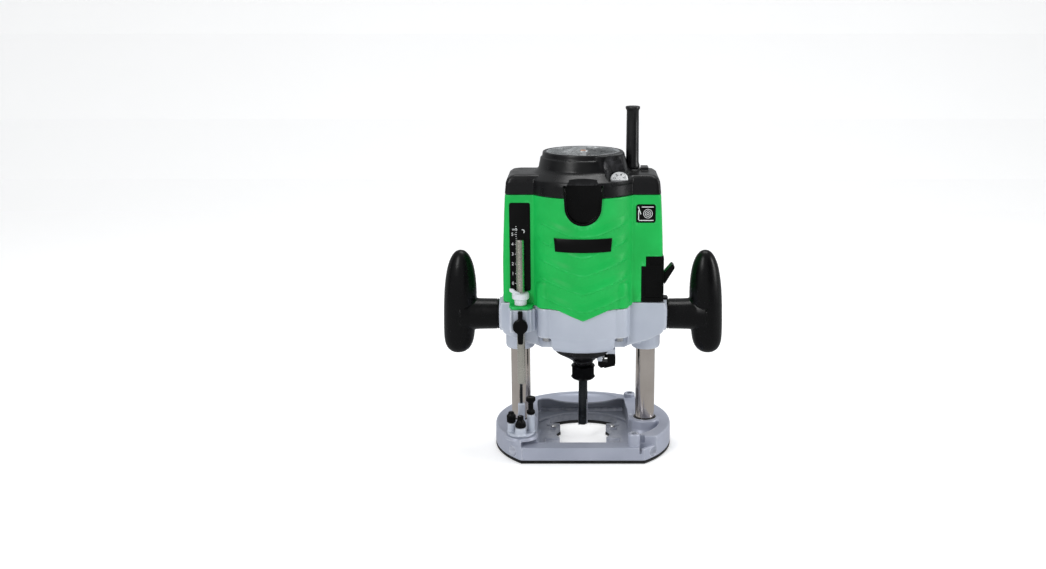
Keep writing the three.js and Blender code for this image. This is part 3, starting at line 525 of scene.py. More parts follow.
def housing():
    solid = Solid()
    upper = [(268, 0.962), (250, 0.974), (225, 0.988), (200, 0.998), (SHELL_WING_LOW, 1.0)]
    solid.loft([(z, wing_plan(scale)) for z, scale in upper[::-1]])
    bulge_with_chevron(solid)
    for x, y in BOLTS:
        solid.turn([(10.6, SHELL_LOW), (10.6, 176), (9.5, 181), (6.5, 185), (0, 187)], x, y, 48)
    solid.prism(rounded([(-74, -28), (-74, -38), (-70.5, -45), (-55.5, -45), (-50, -38), (-50, -28)], 2),
        154.6, 157.8)
    piece = fuse(to_object("motor_housing", solid), 0.85, 4)
    emboss(piece)
    cut(piece, Solid().slab(visor_plan(0.3), -70, -40))
    cut(piece, Solid().slab(switch_plan(0.3), -40, -12.2))
    for node in ("scale_plate", "badge_plate"):
        cut(piece, Solid().slab(plate_outline(node, 0.3), -40, cad(node)[1].y + 0.2))
    cut(piece, Solid().turn([(48, 140), (48, 280)], sides=64))
    cut(piece, Solid().turn([(56.4, 130), (56.4, 157.8)]))
    for x in (-COLUMN_X, COLUMN_X):
        cut(piece, Solid().turn([(11.6, 140), (11.6, 280)], x, 0, 48))
    pole = middle("depth_pole")
    cut(piece, Solid().turn([(4.5, 150), (4.5, 160)], pole.x, pole.y, 40))
    thin(piece, 130000)
    settle(piece, "head", GREEN, ["housing"])


def wrapped_plate():
    """The plate across the bulge, blank, with slanting ends."""
    low, high = cad("name_plate")
    steps = 40
    rows = []
    for radius, inset in ((BULGE - 1.0, 0), (BULGE + 0.75, 0), (BULGE + 1.05, 0.5)):
        ring = []
        for z, lean in ((low.z + inset, -0.6), (high.z - inset, 0.6)):
            reach = high.x - inset + lean
            run = [-reach + 2 * reach * i / steps for i in range(steps + 1)]
            if lean > 0:
                run.reverse()
            ring += [(x, -math.sqrt(radius**2 - x**2), z) for x in run]
        rows.append(ring)
    piece = to_object("name_plate_blank", Solid().skin(rows))
    settle(piece, "head", LABEL, ["name_plate"])


# ---- printed plates ----
def lettering(name, text, size, place, turn):
    """Plain printed figures as a thin mesh; place in millimetres, turn as a rotation matrix."""
    curve = bpy.data.curves.new(name, "FONT")
    curve.body = text
    curve.size = size
    curve.extrude = 0.12
    curve.align_x, curve.align_y = "CENTER", "CENTER"
    curve.resolution_u = 4
    holder = bpy.data.objects.new(name + "_text", curve)
    bpy.context.scene.collection.objects.link(holder)
    bpy.context.view_layer.update()
    mesh = bpy.data.meshes.new_from_object(holder.evaluated_get(bpy.context.evaluated_depsgraph_get()))
    bpy.data.objects.remove(holder)
    mesh.transform(Matrix.Translation(place) @ turn.to_4x4())
    return mesh


def gathered(name, meshes):
    """Several meshes as one object."""
    whole = bmesh.new()
    for mesh in meshes:
        whole.from_mesh(mesh)
        bpy.data.meshes.remove(mesh)
    mesh = bpy.data.meshes.new(name)
    whole.to_mesh(mesh)
    whole.free()
    piece = bpy.data.objects.new(name, mesh)
    bpy.context.scene.collection.objects.link(piece)
    return piece


def solid_mesh(solid):
    holder = to_object("part", solid)
    mesh = holder.data
    bpy.data.objects.remove(holder)
    return mesh


def plate(node, name, proud=0.25):
    low, high = cad(node)
    solid = Solid().slab(plate_outline(node, -0.1), low.y - proud, high.y - 0.1)
    piece = soften(to_object(name, solid), 0.25, 2)
    settle(piece, "head", LABEL, [node])
    return low.y - proud


FACING_FRONT = Matrix.Rotation(math.pi / 2, 3, "X")


def depth_scale():
    front = plate("scale_plate", "depth_scale_plate")
    marks = []
    pole_x = middle("depth_pole").x
    first, pitch = 178.7, 10.0
    for k in range(6):
        z = first + pitch * k
        marks.append(lettering("figure", str(k), 4.4, (pole_x - 7.6, front, z), FACING_FRONT))
        for share in range(5):
            left = pole_x - (5.4 if share == 0 else 4.4)
            low = z + pitch / 5 * share - 0.25
            tick = Solid().slab(rectangle(left, pole_x - 3.4, low, low + 0.5), front - 0.12, front + 0.1)
            marks.append(solid_mesh(tick))
    marks.append(lettering("unit", "mm", 3.4, (pole_x - 5.2, front, first + 5.5 * pitch), FACING_FRONT))
    bow_x, bow_z = pole_x + 2.6, first + 5.3 * pitch
    bow = Solid().slab(arc(bow_x, bow_z, 2.0, -60, 120) + arc(bow_x, bow_z, 1.3, 120, -60), front - 0.12,
        front + 0.1)
    marks.append(solid_mesh(bow))
    settle(gathered("depth_scale_figures", marks), "head", PRINT)


def badge():
    front = plate("badge_plate", "badge_plate_face")
    low, high = cad("badge_plate")
    centre = (low + high) / 2
    x, z = centre.x, centre.z
    shapes = [
        rectangle(x - 7.6, x + 7.4, z - 7.2, z - 6.4),
        rectangle(x - 7.6, x - 6.8, z - 7.2, z + 3.4),
        rectangle(x - 4.2, x + 7.4, z + 6.2, z + 7.0),
        [(x - 8.0, z + 6.8), (x - 7.2, z + 7.0), (x - 4.6, z - 0.6), (x - 5.4, z - 0.8)],
    ]
    marks = [solid_mesh(Solid().slab(shape, front - 0.12, front + 0.1)) for shape in shapes]
    for radius in (1.4, 3.0, 4.6):
        ring = [arc(x + 2.0, z, r, 0, 350, 35) for r in (radius - 0.45, radius)]
        hoop = Solid()
        loops = [(ring[0], 0.1), (ring[1], 0.1), (ring[1], -0.12), (ring[0], -0.12)]
        hoop.rows([[(px, front + deep, pz) for px, pz in loop] for loop, deep in loops], True)
        marks.append(solid_mesh(hoop))
    settle(gathered("badge_lines", marks), "head", PRINT)


# ---- tail cover ----
def tail_cover():
    solid = Solid()
    solid.turn([(58.0, 268.4), (57.6, 279), (56.8, 282.6), (55.6, 283.6), (47, 289.4), (45, 291.2),
                (44.6, 292),
                (42.6, 301.9), (41.0, 302.7), (40.4, 307), (39.9, 307.8)], sides=160)
    solid.loft([(z, wing_plan(scale, inset, 5)) for z, scale, inset in
                ((268.4, 0.962, 0), (280, 0.952, 0.3), (284, 0.944, 1.2), (286.6, 0.925, 3.4),
                (287.4, 0.905, 6))])
    bump = [(8, -38), (15, -40.2), (33, -35), (38.5, -29.5), (41, -20), (41.5, 4), (0, 4)]
    foot = [(8, -38), (15.5, -42), (36, -37), (42.5, -30.5), (45, -20), (45, 6), (0, 6)]
    crown = [(x * 0.97, y * 0.97) for x, y in bump]
    solid.loft([(288, rounded(foot, 4)), (306, rounded(bump, 4)), (307.4, rounded(crown, 4))])
    brow = [(44, 280), (57.9, 280), (57.9, 284.4), (57.0, 285.4), (44, 290.6)]
    spin = [math.radians(-60 + 31 * i / 16) for i in range(17)]
    solid.skin([[(r * math.cos(a), r * math.sin(a), z) for r, z in brow] for a in spin])
    guard = middle("cord_guard")
    solid.turn([(9.6, 280), (9.6, 287.8), (9.0, 288.8)], guard.x, guard.y, 64)
    solid.box((58.5, 2, 280), (66, 20, 290.5))
    piece = fuse(to_object("tail_cover_shell", solid), 0.6, 2)
    cut(piece, Solid().slab(visor_plan(0.3), -70, -46))
    ears = [(-25.5, 266), (25.5, 266), (21.5, 268.9), (13.8, 284.4), (13.8, 300), (-13.8, 300),
        (-13.8, 284.4), (-21.5, 268.9)]
    notch = to_object("notch", Solid().slab(ears, -70, -50.5))
    slope = [(-70, 266), (-52.4, 266), (-52.4, 279.6), (-46, 286.0), (-46, 300), (-70, 300)]
    cut(piece, combine(notch, Solid().bar(slope, -26, 26), "INTERSECT"))
    cut(piece, Solid().turn([(37.6, 303.2), (37.6, 320)]))
    cut(piece, Solid().turn([(35, 262), (34, 304)], sides=64))
    cut(piece, Solid().turn([(52, 262), (50, 279)], sides=64))
    for x in (-COLUMN_X, COLUMN_X):
        cut(piece, Solid().turn([(11.2, 262), (11.2, 279)], x, 0, 40))
    cut(piece, Solid().turn([(6.6, 270), (6.6, 300)], guard.x, guard.y, 48))
    for tool in dial_form(0.5, 9):
        cut(piece, tool)
    thin(piece, 110000)
    settle(piece, "head", BLACK, ["tail_cover"])


def front_pocket():
    """The pocket that dips into the front of the housing, its back sloping up to the shoulder."""
    piece = to_object("front_pocket", Solid().slab(visor_plan(0), -57.7, -47))
    cut(piece, Solid().bar([(-60, 275.6), (-57, 275.6), (-49.6, 283.4), (-46, 286), (-46, 300), (-60, 300)],
        -30, 30))
    cut(piece, Solid().slab(visor_plan(-2.0), -60, -50.5))
    soften(piece, 0.7)
    settle(piece, "head", GLOSS_BLACK, ["front_cover"])


DIAL_RADIUS = 8.9
DIAL_INSET = 2


def dial_frame():
    """The dial's centre, set back from the CAD disc's, and its axis, pointing out."""
    joint = next(j for j in frame["joints"] if j["name"] == "dial_turn")
    axis = Vector(joint["axis"]).normalized()
    axis = axis if axis.z > 0 else -axis
    return middle("speed_dial") - axis * DIAL_INSET, axis


def dial_form(grow, depth):
    centre, axis = dial_frame()
    back, face, out = centre - axis * (3 + depth), centre + axis * 3.2, centre + axis * 22
    radius = DIAL_RADIUS + grow
    tools = []
    for near, far, end in ((back, face, radius), (face - axis * 1.5, out, radius + 11)):
        tool = to_object("tool", Solid().rod(radius, near, far, 64, end))
        tools.append(combine(tool, Solid().box((10, -80, centre.z + 0.6), (70, 0, 330)), "INTERSECT"))
    return tools


def speed_dial():
    centre, axis = dial_frame()
    solid = Solid()
    ridges = 48
    up = axis.cross(Vector((1, 0, 0))).normalized()
    side = Vector((1, 0, 0))

    def loop(radius, along, wave):
        points = []
        for i in range(ridges * 4):
            a = TURN * i / (ridges * 4)
            r = radius + wave * math.cos(a * ridges)
            points.append(centre + axis * along + (side * math.cos(a) + up * math.sin(a)) * r)
        return points

    solid.skin([loop(DIAL_RADIUS - 0.9, -3, 0), loop(DIAL_RADIUS - 0.35, -2.4, 0.2),
                loop(DIAL_RADIUS - 0.35, 2.3, 0.2),
                loop(DIAL_RADIUS - 1.1, 3.0, 0), loop(DIAL_RADIUS - 2.0, 3.0, 0),
                loop(DIAL_RADIUS - 2.3, 2.7, 0)])
    settle(to_object("speed_dial_wheel", solid), "speed_dial", SPECKLED, ["speed_dial"])
    figures = []
    basis = Matrix((side, up if up.z > 0 else -up, axis)).transposed()
    upward = basis.col[1]
    for k in range(6):
        a = math.radians(90 - (k - 2.6) * 52)
        place = centre + axis * 2.75 + (side * math.cos(a) + upward * math.sin(a)) * (DIAL_RADIUS - 4.1)
        turn = basis @ Matrix.Rotation(a - math.pi / 2, 3, "Z")
        figures.append(lettering("figure", str(k + 1), 3.6, place, turn))
    settle(gathered("speed_dial_figures", figures), "speed_dial", LABEL)


def cord_guard():
    high = cad("cord_guard")[1]
    guard = middle("cord_guard")
    top = high.z
    profile = [(3.6, 284), (6.0, 284), (6.0, 289.2), (7.3, 289.5), (7.5, 290.4), (7.4, 292.4), (6.8, 294.0),
        (6.5, 295.4)]
    profile += [(6.5 - 0.35 * t, 296 + (top - 300.5) * t) for t in (0.25, 0.5, 0.75, 1.0)]
    profile += [(6.5, top - 3.6), (7.1, top - 2.7), (7.3, top - 2.0), (7.3, top - 0.8), (6.9, top - 0.2),
                (6.4, top),
                (4.4, top), (3.8, top - 0.6), (3.6, top - 2)]
    solid = Solid().hoop(profile, guard.x, guard.y, 72)
    settle(to_object("cord_guard_sleeve", solid), "head", RUBBER, ["cord_guard"])


def vent_grille():
    high = cad("vent_grille")[1]
    top, radius = high.z, 37.2
    rim = Solid().hoop([(radius - 2.4, top - 3.4), (radius, top - 3.4), (radius, top - 0.9),
                        (radius - 0.7, top - 0.3),
                        (radius - 2.0, top - 0.3), (radius - 2.4, top - 0.8)])
    bars = Solid()
    pitch, half, lean = 5.0, 0.5, 0.36
    for side in (-1, 1):
        way = Vector((side, lean, 0)).normalized()
        across = Vector((-way.y, way.x, 0)) * half
        for k in range(-9, 10):
            start = Vector((side * 3.0, k * pitch, 0))
            if start.length > radius - 2:
                continue
            along = start.dot(way)
            reach = math.sqrt(along**2 - start.length_squared + (radius - 1.6) ** 2) - along
            end = start + way * reach
            corners = (start - across, end - across, end + across, start + across)
            bars.prism([tuple(p.xy) for p in corners], top - 0.85, top - 0.5)
    bars.prism(rectangle(-3.2, 3.2, -35.6, 35.6), top - 3.3, top - 0.45)
    bars.turn([(5.4, top - 3.3), (5.4, top - 0.2), (4.8, top)], sides=48)
    bars = soften(to_object("bars", bars), 0.08, 2)
    bar_mesh = bars.data
    bpy.data.objects.remove(bars)
    whole = gathered("vent_grille_slats", [solid_mesh(rim), bar_mesh])
    settle(whole, "head", GRILLE, ["vent_grille"])
    screw = to_object("grille_screw", Solid().turn([(2.2, top - 1), (3.1, top - 0.6), (3.1, top + 0.2),
                                                   (2.5, top + 0.45)],
                                                   sides=40))
    for wide, deep in ((2.0, 0.35), (0.35, 2.0)):
        cut(screw, Solid().box((-wide, -deep, top - 0.5), (wide, deep, top + 2)))
    settle(screw, "head", COPPER)


# ---- motor bracket ----
SLEEVE_LOW, HANDLE_Z = 104.0, 139.3


def joined(piece, solid):
    """Adds closed forms to a piece's mesh, to be melted together."""
    extra = solid_mesh(solid)
    whole = bmesh.new()
    whole.from_mesh(piece.data)
    whole.from_mesh(extra)
    whole.to_mesh(piece.data)
    whole.free()
    bpy.data.meshes.remove(extra)
    return piece


def motor_bracket():
    top, wing_top = SHELL_LOW - 0.4, SHELL_WING_LOW - 0.4
    solid = Solid()
    solid.turn([(44, 110.6), (50, 111.1), (53.2, 113), (55.0, 116.5), (55.4, 124.6), (56.1, 125.8),
        (56.1, top)], sides=160)
    for x, y in BOLTS:
        solid.turn([(9.3, 118), (9.5, 140), (9.7, top)], x, y, 56)
    for side in (-1, 1):
        x = side * COLUMN_X
        solid.turn([(12.4, SLEEVE_LOW), (14.0, SLEEVE_LOW + 0.8), (14.9, SLEEVE_LOW + 3), (15.1, 150)], x,
            0, 72)
        solid.lathe([(16.2, 0), (16.5, 0.35), (16.5, 1.0)], (side * 85.8, 0, HANDLE_Z),
            (side * 60, 0, HANDLE_Z), 72)
        solid.lathe([(16.9, 0), (17.1, 0.4), (16.9, 1.0)], (side * 85.9, 0, HANDLE_Z),
            (side * 82.6, 0, HANDLE_Z), 72)
        block = [(47, 114.5), (48, wing_top), (83, wing_top - 0.5), (84, 134), (80, 126.5), (66, 119.5)]
        solid.slab(rounded([(side * px, pz) for px, pz in block], 2), -30.8, 30.8)
        rib = [(side * px, pz) for px, pz in ((44, 112.5), (44, 118), (62, 122), (58, 113.5))]
        solid.slab(rib, -24, 24)
    lug = [(-73.2, -28), (-73.2, -38.5), (-70.2, -44.4), (-55.6, -44.4), (-51.6, -38), (-48, -37),
        (-48, -28)]
    solid.prism(rounded(lug, 1.6), 130.5, 154.2)
    solid.slab(rounded([(-73, 131), (-73, 154), (-70.6, 154), (-70.6, 134), (-68, 131)], 0.8), -45.6, -40)
    solid.slab(rounded([(-53.6, 131), (-53.6, 154), (-51.4, 154), (-51.4, 131)], 0.8), -41.5, -34)
    piece = fuse(to_object("bracket_casting", solid), 0.8, 3)
    cut(piece, Solid().hoop([(21, 115.6), (38.4, 115.6), (39.4, 117), (39.4, 128), (21, 128)]))
    cut(piece, Solid().turn([(39.4, 125.6), (39.4, 127.8), (46.8, 128.2), (46.8, 170)]))
    cut(piece, Solid().turn([(16.4, 113.2), (16.4, 130)], sides=72))
    cut(piece, Solid().turn([(12.2, 100), (12.2, 118)], sides=64))
    for side in (-1, 1):
        cut(piece, Solid().turn([(13.2, 98), (13.2, 108.9), (10.6, 109.4), (10.6, 170)], side * COLUMN_X, 0,
            64))
    for x, y in BOLTS:
        cut(piece, Solid().turn([(10.3, 100), (10.3, 124.6), (8.6, 126.2), (2.9, 126.4), (2.9, 150)], x, y,
            56))
    pole = middle("depth_pole")
    cut(piece, Solid().turn([(4.45, 120), (4.45, 160)], pole.x, pole.y, 40))
    cut(piece, Solid().rod(3.1, (pole.x, -52, HANDLE_Z - 0.8), (pole.x, pole.y, HANDLE_Z - 0.8)))
    cut(piece, Solid().rod(4.4, (-63, 19, 135), (-63, 33, 135)))
    thin(piece, 140000)
    settle(piece, "head", BRACKET, ["motor_bracket"])


def housing_screws():
    for i, (x, y) in enumerate(BOLTS):
        node = f"housing_screw_{i + 1}"
        low, high = cad(node)
        seat = low.z + 5.2
        head = Solid().turn([(4.4, low.z), (4.9, low.z + 0.5), (5.0, seat - 0.6), (6.4, seat - 0.5),
            (6.4, seat)], x, y, 48)
        head.turn([(2.5, seat - 0.5), (2.5, high.z)], x, y, 24)
        piece = fused_hard(head, "bracket_bolt")
        cut(piece, Solid().turn([(2.6, low.z - 1), (2.6, low.z + 3)], x, y, 6))
        piece.name = f"bracket_bolt_{i + 1}"
        settle(piece, "head", ZINC, [node], 30)


def fused_hard(solid, name, bevel=0.0):
    """Joins closed forms by exact booleans, so edges stay crisp."""
    piece = to_object(name, solid)
    parts = split_loose(piece)
    whole = parts[0]
    for part in parts[1:]:
        combine(whole, part, "UNION")
    if bevel:
        soften(whole, bevel, 2)
    return whole


def split_loose(piece):
    """One object for each closed form in the piece's mesh."""
    source = bmesh.new()
    source.from_mesh(piece.data)
    source.verts.ensure_lookup_table()
    seen, groups = set(), []
    for vertex in source.verts:
        if vertex.index in seen:
            continue
        group, stack = set(), [vertex]
        while stack:
            here = stack.pop()
            if here.index in group:
                continue
            group.add(here.index)
            stack += [edge.other_vert(here) for edge in here.link_edges]
        seen |= group
        groups.append(group)
    parts = []
    for k, group in enumerate(groups):
        copy = bmesh.new()
        copy.from_mesh(piece.data)
        copy.verts.ensure_lookup_table()
        bmesh.ops.delete(copy, geom=[v for v in copy.verts if v.index not in group], context="VERTS")
        mesh = bpy.data.meshes.new(f"{piece.name}_{k}")
        copy.to_mesh(mesh)
        copy.free()
        part = bpy.data.objects.new(f"{piece.name}_{k}", mesh)
        bpy.context.scene.collection.objects.link(part)
        parts.append(part)
    source.free()
    bpy.data.objects.remove(piece)
    return parts


def nose():
    """The black cone under the bracket, notched for the spindle lock."""
    solid = Solid().turn([(9.9, 87.0), (10.6, 87.5), (10.8, 89.4), (13.2, 90.6), (17.6, 93.6), (26.8, 98.6),
                          (28.4, 99.8),
                          (29.0, 101.4), (29.0, 110.4)], sides=120)
    piece = to_object("bearing_cone", solid)
    cut(piece, Solid().turn([(8.5, 86), (8.5, 111)], sides=64))
    cut(piece, Solid().box((12.4, -15.6, 86), (36, 2.4, 104.8)))
    cut(piece, Solid().box((18, -7.4, 100), (36, 2.4, 112)))
    cut(piece, Solid().rod(2.4, (8, -6.5, 95.4), (20, -6.5, 95.4)))
    soften(piece, 0.5, 2, 25)
    settle(piece, "head", BLACK, ["bearing_cover"])


def spindle_lock():
    """A bent thumb lever on a pin that slides through the ear of a cast bracket."""
    outline = [(14.6, 104.5), (14.6, 92.6), (15.8, 91.7), (19.8, 91.7), (19.8, 99.8), (33.4, 99.8),
        (33.4, 104.5)]
    piece = to_object("lock_pin_bracket", Solid().slab(rounded(outline, 0.7), -13.8, 0.8))
    stem = to_object("stem", Solid().box((20, -6.6, 103), (32, 0.8, 110.4)))
    combine(piece, stem, "UNION")
    cut(piece, Solid().rod(2.2, (10, -6.5, 95.4), (24, -6.5, 95.4)))
    soften(piece, 0.5, 2)
    settle(piece, "head", BRACKET, ["lock_bracket"])
    lever = [(15.4, 90.4), (15.4, 86.8), (18.6, 84.0), (33.0, 87.8), (33.6, 88.6), (33.6, 97.4),
             (31.2, 99.3),
             (25.5, 99.3), (25.5, 90.4)]
    form = Solid().slab(rounded(lever, 0.8), -12.8, -0.2)
    form.rod(1.9, (13, -6.5, 95.4), (27, -6.5, 95.4), 32)
    form.slab(rounded([(22, 84.0), (33.2, 86.8), (33.2, 89.2), (22, 86.8)], 0.4), -13.5, 0.5)
    piece = fuse(to_object("lock_pin_lever", form), 0.3, 2)
    thin(piece, 24000)
    settle(piece, "lock_pin", GLOSS_BLACK, ["lock_pin"])


def plunge_lever():
    x, z, front = -63.0, 135.0, WING_Y + 0.3
    solid = Solid()
    solid.lathe([(8.0, 0), (8.2, 0.1), (8.2, 0.75), (7.2, 0.95), (6.6, 1.0)], (x, front, z),
        (x, front + 8.6, z), 64)
    solid.rod(3.9, (x, 24, z), (x, 33, z), 32)
    arm = [(x + 2, z + 6.6), (x - 18, z + 4), (x - 33, z - 4.6), (x - 36, z - 11.4), (x - 33.4, z - 13.2),
           (x - 29, z - 12.2), (x - 14, z - 4.8), (x, z - 6.6)]
    solid.slab(rounded(arm, 3), front + 2.6, front + 7.4)
    piece = fuse(to_object("plunge_lock_arm", solid), 0.6, 4)
    thin(piece, 30000)
    settle(piece, "lock_lever", BLACK, ["lock_lever"])


# ---- handles ----
def grips():
    """Upright grips that lean outward towards the foot, each on a stout neck.

    A groove runs beside each boss.
    """
    profile = smooth([(0, 98.0), (3.6, 98.4), (7.4, 99.6), (11.3, 102.9), (14.0, 108.0), (15.5, 115.0),
                      (16.3, 127.0),
                      (16.8, 145.0), (16.7, 160.0), (16.0, 172.0), (14.6, 183.0), (12.6, 192.0),
                      (9.6, 199.4), (6.4, 203.8),
                      (3.2, 206.0), (0, 206.6)], 5)
    for side, node in ((-1, "grip_left"), (1, "grip_right")):
        low, high = cad(node)
        solid = Solid().turn(profile, 0, 0, 96)
        for vertex in solid.mesh.verts:
            drop = max(0.0, (high.z - vertex.co.z) / (high.z - low.z))
            vertex.co.x += side * (125 + 4.6 * drop**1.6)
        inner = side * 86.4
        solid.lathe([(15.4, 0), (15.7, 0.02), (15.9, 0.4), (16.2, 0.6), (16.8, 0.74), (18.0, 0.86),
                    (19.4, 1.0)],
                    (inner, 0, HANDLE_Z), (side * 126, 0, HANDLE_Z), 80)
        piece = fuse(to_object(node + "_moulding", solid), 0.8, 6)
        near, far = inner + side * 1.4, inner + side * 2.3
        ring = [(15.0, 0), (18, 0), (18, 1), (15.0, 1)]
        groove = Solid()
        groove.rows([[(near + (far - near) * share, r * math.cos(a), HANDLE_Z + r * math.sin(a))
                      for a in (TURN * i / 80 for i in range(80))] for r, share in ring], True)
        cut(piece, groove)
        thin(piece, 60000)
        settle(piece, "head", GRIP, [node])


# ---- columns ----
def columns():
    for side, word in ((-1, "left"), (1, "right")):
        x = side * COLUMN_X
        low, high = cad(f"column_{word}")
        solid = Solid().hoop([(5.4, low.z), (9.2, low.z), (10.0, low.z + 0.8), (10.0, high.z - 1.2),
                              (9.2, high.z),
                              (8.0, high.z), (8.0, low.z + 8.7), (5.4, low.z + 8.7)], x, 0, 128)
        settle(to_object(f"column_{word}_tube", solid), "base", CHROME,
            [f"column_{word}"], 30)
        ring = Solid().hoop([(10.15, 25.2), (11.9, 25.2), (11.9, 26.8), (11.4, 27.5), (10.6, 27.8),
            (10.15, 27.4)], x, 0)
        settle(to_object(f"column_{word}_collar", ring), "base", RUBBER)
        low, high = cad(f"column_seal_{word}")
        seal = Solid().hoop([(11.6, low.z - 0.4), (12.9, low.z + 0.2), (12.9, high.z), (10.4, high.z),
            (10.3, low.z + 1.2)], x)
        settle(to_object(f"column_{word}_wiper", seal), "head", RUBBER,
            [f"column_seal_{word}"])


def springs():
    """The return springs, drawn short in every pose, at rest too, so that they stay inside the columns."""
    for word in ("left", "right"):
        node = f"column_spring_{word}"
        low, high = cad(node)
        top = cad(f"column_{word}")[1].z - 1.0
        source = frame["nodes"][node]
        mesh = source.data.copy()
        mesh.transform(FROM_FRAME @ source.matrix_world)
        for vertex in mesh.vertices:
            vertex.co.z = low.z + (vertex.co.z - low.z) * (top - low.z) / (high.z - low.z)
        piece = bpy.data.objects.new(node + "_coil", mesh)
        bpy.context.scene.collection.objects.link(piece)
        settle(piece, "base", OXIDE, [node])


# ---- base ----
BASE_R, BASE_FRONT, BASE_LOW, BASE_TOP, FLOOR_TOP, BEAM_TOP = 92.0, 67.5, 3.3, 24.5, 9.5, 17.0
BARS = ((51.5, -58.0), (51.5, 70.0))


def base_plan(inset=0.0):
    radius, front = BASE_R - inset, BASE_FRONT - inset
    corner = math.degrees(math.asin(front / radius))
    return arc(0, 0, radius, -corner, 180 + corner, 120)


def opening_plan(grow=0.0):
    """A wide arc behind, straight sides, and two pairs of tabs round a template guide."""
    side, front, guide, tip, tab = 38.5 + grow, -49.0 - grow, 29.5 + grow, 24.4 + grow, 24.3 + grow
    back = 54.0 + grow
    tip_angle = math.degrees(math.acos(tip / guide))
    back_angle = math.degrees(math.acos((side - 2) / back))
    right = [(side - 7, front), (side, front + 7), (side, -tab), (tip + 1.2, -tab), (tip, -tab + 1.2)]
    right += arc(0, 0, guide, -tip_angle, tip_angle, 16)
    right += [(tip + 1, tab - 2 * grow - 2), (side - 2, tab - 2 * grow - 2)]
    crown = arc(0, 0, back, back_angle, 180 - back_angle, 40)
    return right + crown + [(-x, y) for x, y in right[::-1]]


def base_plate():
    levels = ((BASE_LOW, 0.4), (BASE_LOW + 1, 0), (BASE_TOP - 2.0, 0.3), (BASE_TOP - 0.5, 0.9),
        (BASE_TOP, 2.0))
    piece = to_object("base_casting", Solid().loft([(z, base_plan(inset)) for z, inset in levels]))
    well = [(-47, -50.5), (47, -50.5), (47, 30), (45.5, 46), (44.5, 66), (-46, 66), (-49.5, 62), (-49, 44),
        (-47, 20)]
    side_well = [(42, -40), (50, -47.5), (58, -46), (67, -37), (74, -26), (79, -12), (77, -2), (60, 2),
        (42, -4)]
    for low, plan, radius in ((FLOOR_TOP, well, 3), (11.5, side_well, 5)):
        above = [(x * 1.02, y * 1.015) for x, y in plan]
        cut(piece, Solid().loft([(low, rounded(plan, radius)), (BASE_TOP + 2, rounded(above, radius))]))
    cut(piece, Solid().prism(rectangle(-62.5, 62.5, -80, -49.8, 0.6), BEAM_TOP, BASE_TOP + 4))
    cut(piece, Solid().box((57, -90, 10.2), (100, -52.8, 40)))
    rows = []
    for degrees in range(-88, 89, 8):
        t = math.radians(degrees)
        spin = [TURN * i / 64 for i in range(64)]
        rows.append([(math.cos(a) * 38 * math.cos(t), 67.5 + math.sin(a) * 21 * math.cos(t),
                     25.5 + 7 * math.sin(t))
                     for a in spin])
    cut(piece, Solid().skin(rows))
    extra = Solid()
    for side in (-1, 1):
        x = side * COLUMN_X
        extra.turn([(21.0, 8), (18.4, 12), (16.0, 17), (15.3, 25.0), (14.8, 26.4), (12.2, 27.0)], x, 0, 80)
    extra.turn([(17.5, BASE_TOP - 3), (16.2, BASE_TOP + 0.1), (14.9, BASE_TOP + 0.2)], -63, -46, 72)
    for x, y in BARS:
        extra.turn([(7.2, 8), (6.4, 14), (6.1, 28.4), (5.6, 29.5)], x, y, 56)
    fin(extra, (57, 14.5, 26), (51.5, 63, 22), 1.6)
    for sign in (-1, 1):
        pad = [(sign * 61.5, -68.9), (sign * 73.0, -57.8), (sign * 70.6, -55.4), (sign * 59.0, -66.4)]
        extra.prism(pad if sign > 0 else pad[::-1], 5.2, 16.4)
    joined(piece, extra)
    fuse(piece, 0.7, 2)
    cut(piece, Solid().prism(opening_plan(), 0, 12.2))
    for side in (-1, 1):
        cut(piece, Solid().turn([(10.4, 5.0), (10.4, 24.6), (12.0, 25.0), (12.0, 40)], side * COLUMN_X, 0,
            80))
    for x, y in BARS:
        cut(piece, Solid().rod(5.2, (-100, y, 10.2), (100, y, 10.2), 48))
        cut(piece, Solid().turn([(3.1, 10), (3.1, 40)], x, y, 40))
    for x, y in SOLE_SCREWS:
        cut(piece, Solid().turn([(2.3, 0), (2.3, 14.5)], x, y, 24))
    for sign in (-1, 1):
        cut(piece, Solid().turn([(2.1, 0), (2.1, 20)], sign * 31.4, 11, 24))
    cut(piece, Solid().turn([(3.3, 7), (3.3, 40)], -63, -46, 40))
    thin(piece, 120000)
    details = to_object("base_details", base_details())
    cut(details, Solid().prism(opening_plan(-0.02), 0, 20))
    for sign in (-1, 1):
        cut(details, Solid().turn([(2.1, 0), (2.1, 20)], sign * 31.4, 11, 24))
    soften(details, 0.35, 2)
    mesh = details.data
    bpy.data.objects.remove(details)
    shell = piece.data
    bpy.data.objects.remove(piece)
    settle(gathered("base_casting", [shell, mesh]), "base", BASE_LACQUER_PAINTED_SHADE, ["base_plate"])


def base_details():
    """The raised lip round the opening and the bosses on its tabs."""
    form = Solid()
    form.prism(arc(0, 0, 57.2, 30, 150, 60) + arc(0, 0, 54.2, 150, 30, 60), 8.6, 11.6)
    for sign in (-1, 1):
        for x, y, wide, deep, top in ((31.4, 11, 4.6, 4.2, 10.9), (31.6, 20.8, 7.2, 2.6, 10.6),
            (31.6, -20.8, 7.2, 2.6, 10.6)):
            form.prism(rectangle(sign * x - wide, sign * x + wide, y - deep, y + deep, 0.8, 3), 8.6, top)
        edge = [(sign * 38.2, -24.3), (sign * 38.2, -47), (sign * 39.6, -47), (sign * 39.6, -24.3)]
        form.prism(edge if sign > 0 else edge[::-1], 8.6, 10.6)
    return form


SOLE_SCREWS = ((70, 32), (-70, 32), (73, -28), (-73, -28))


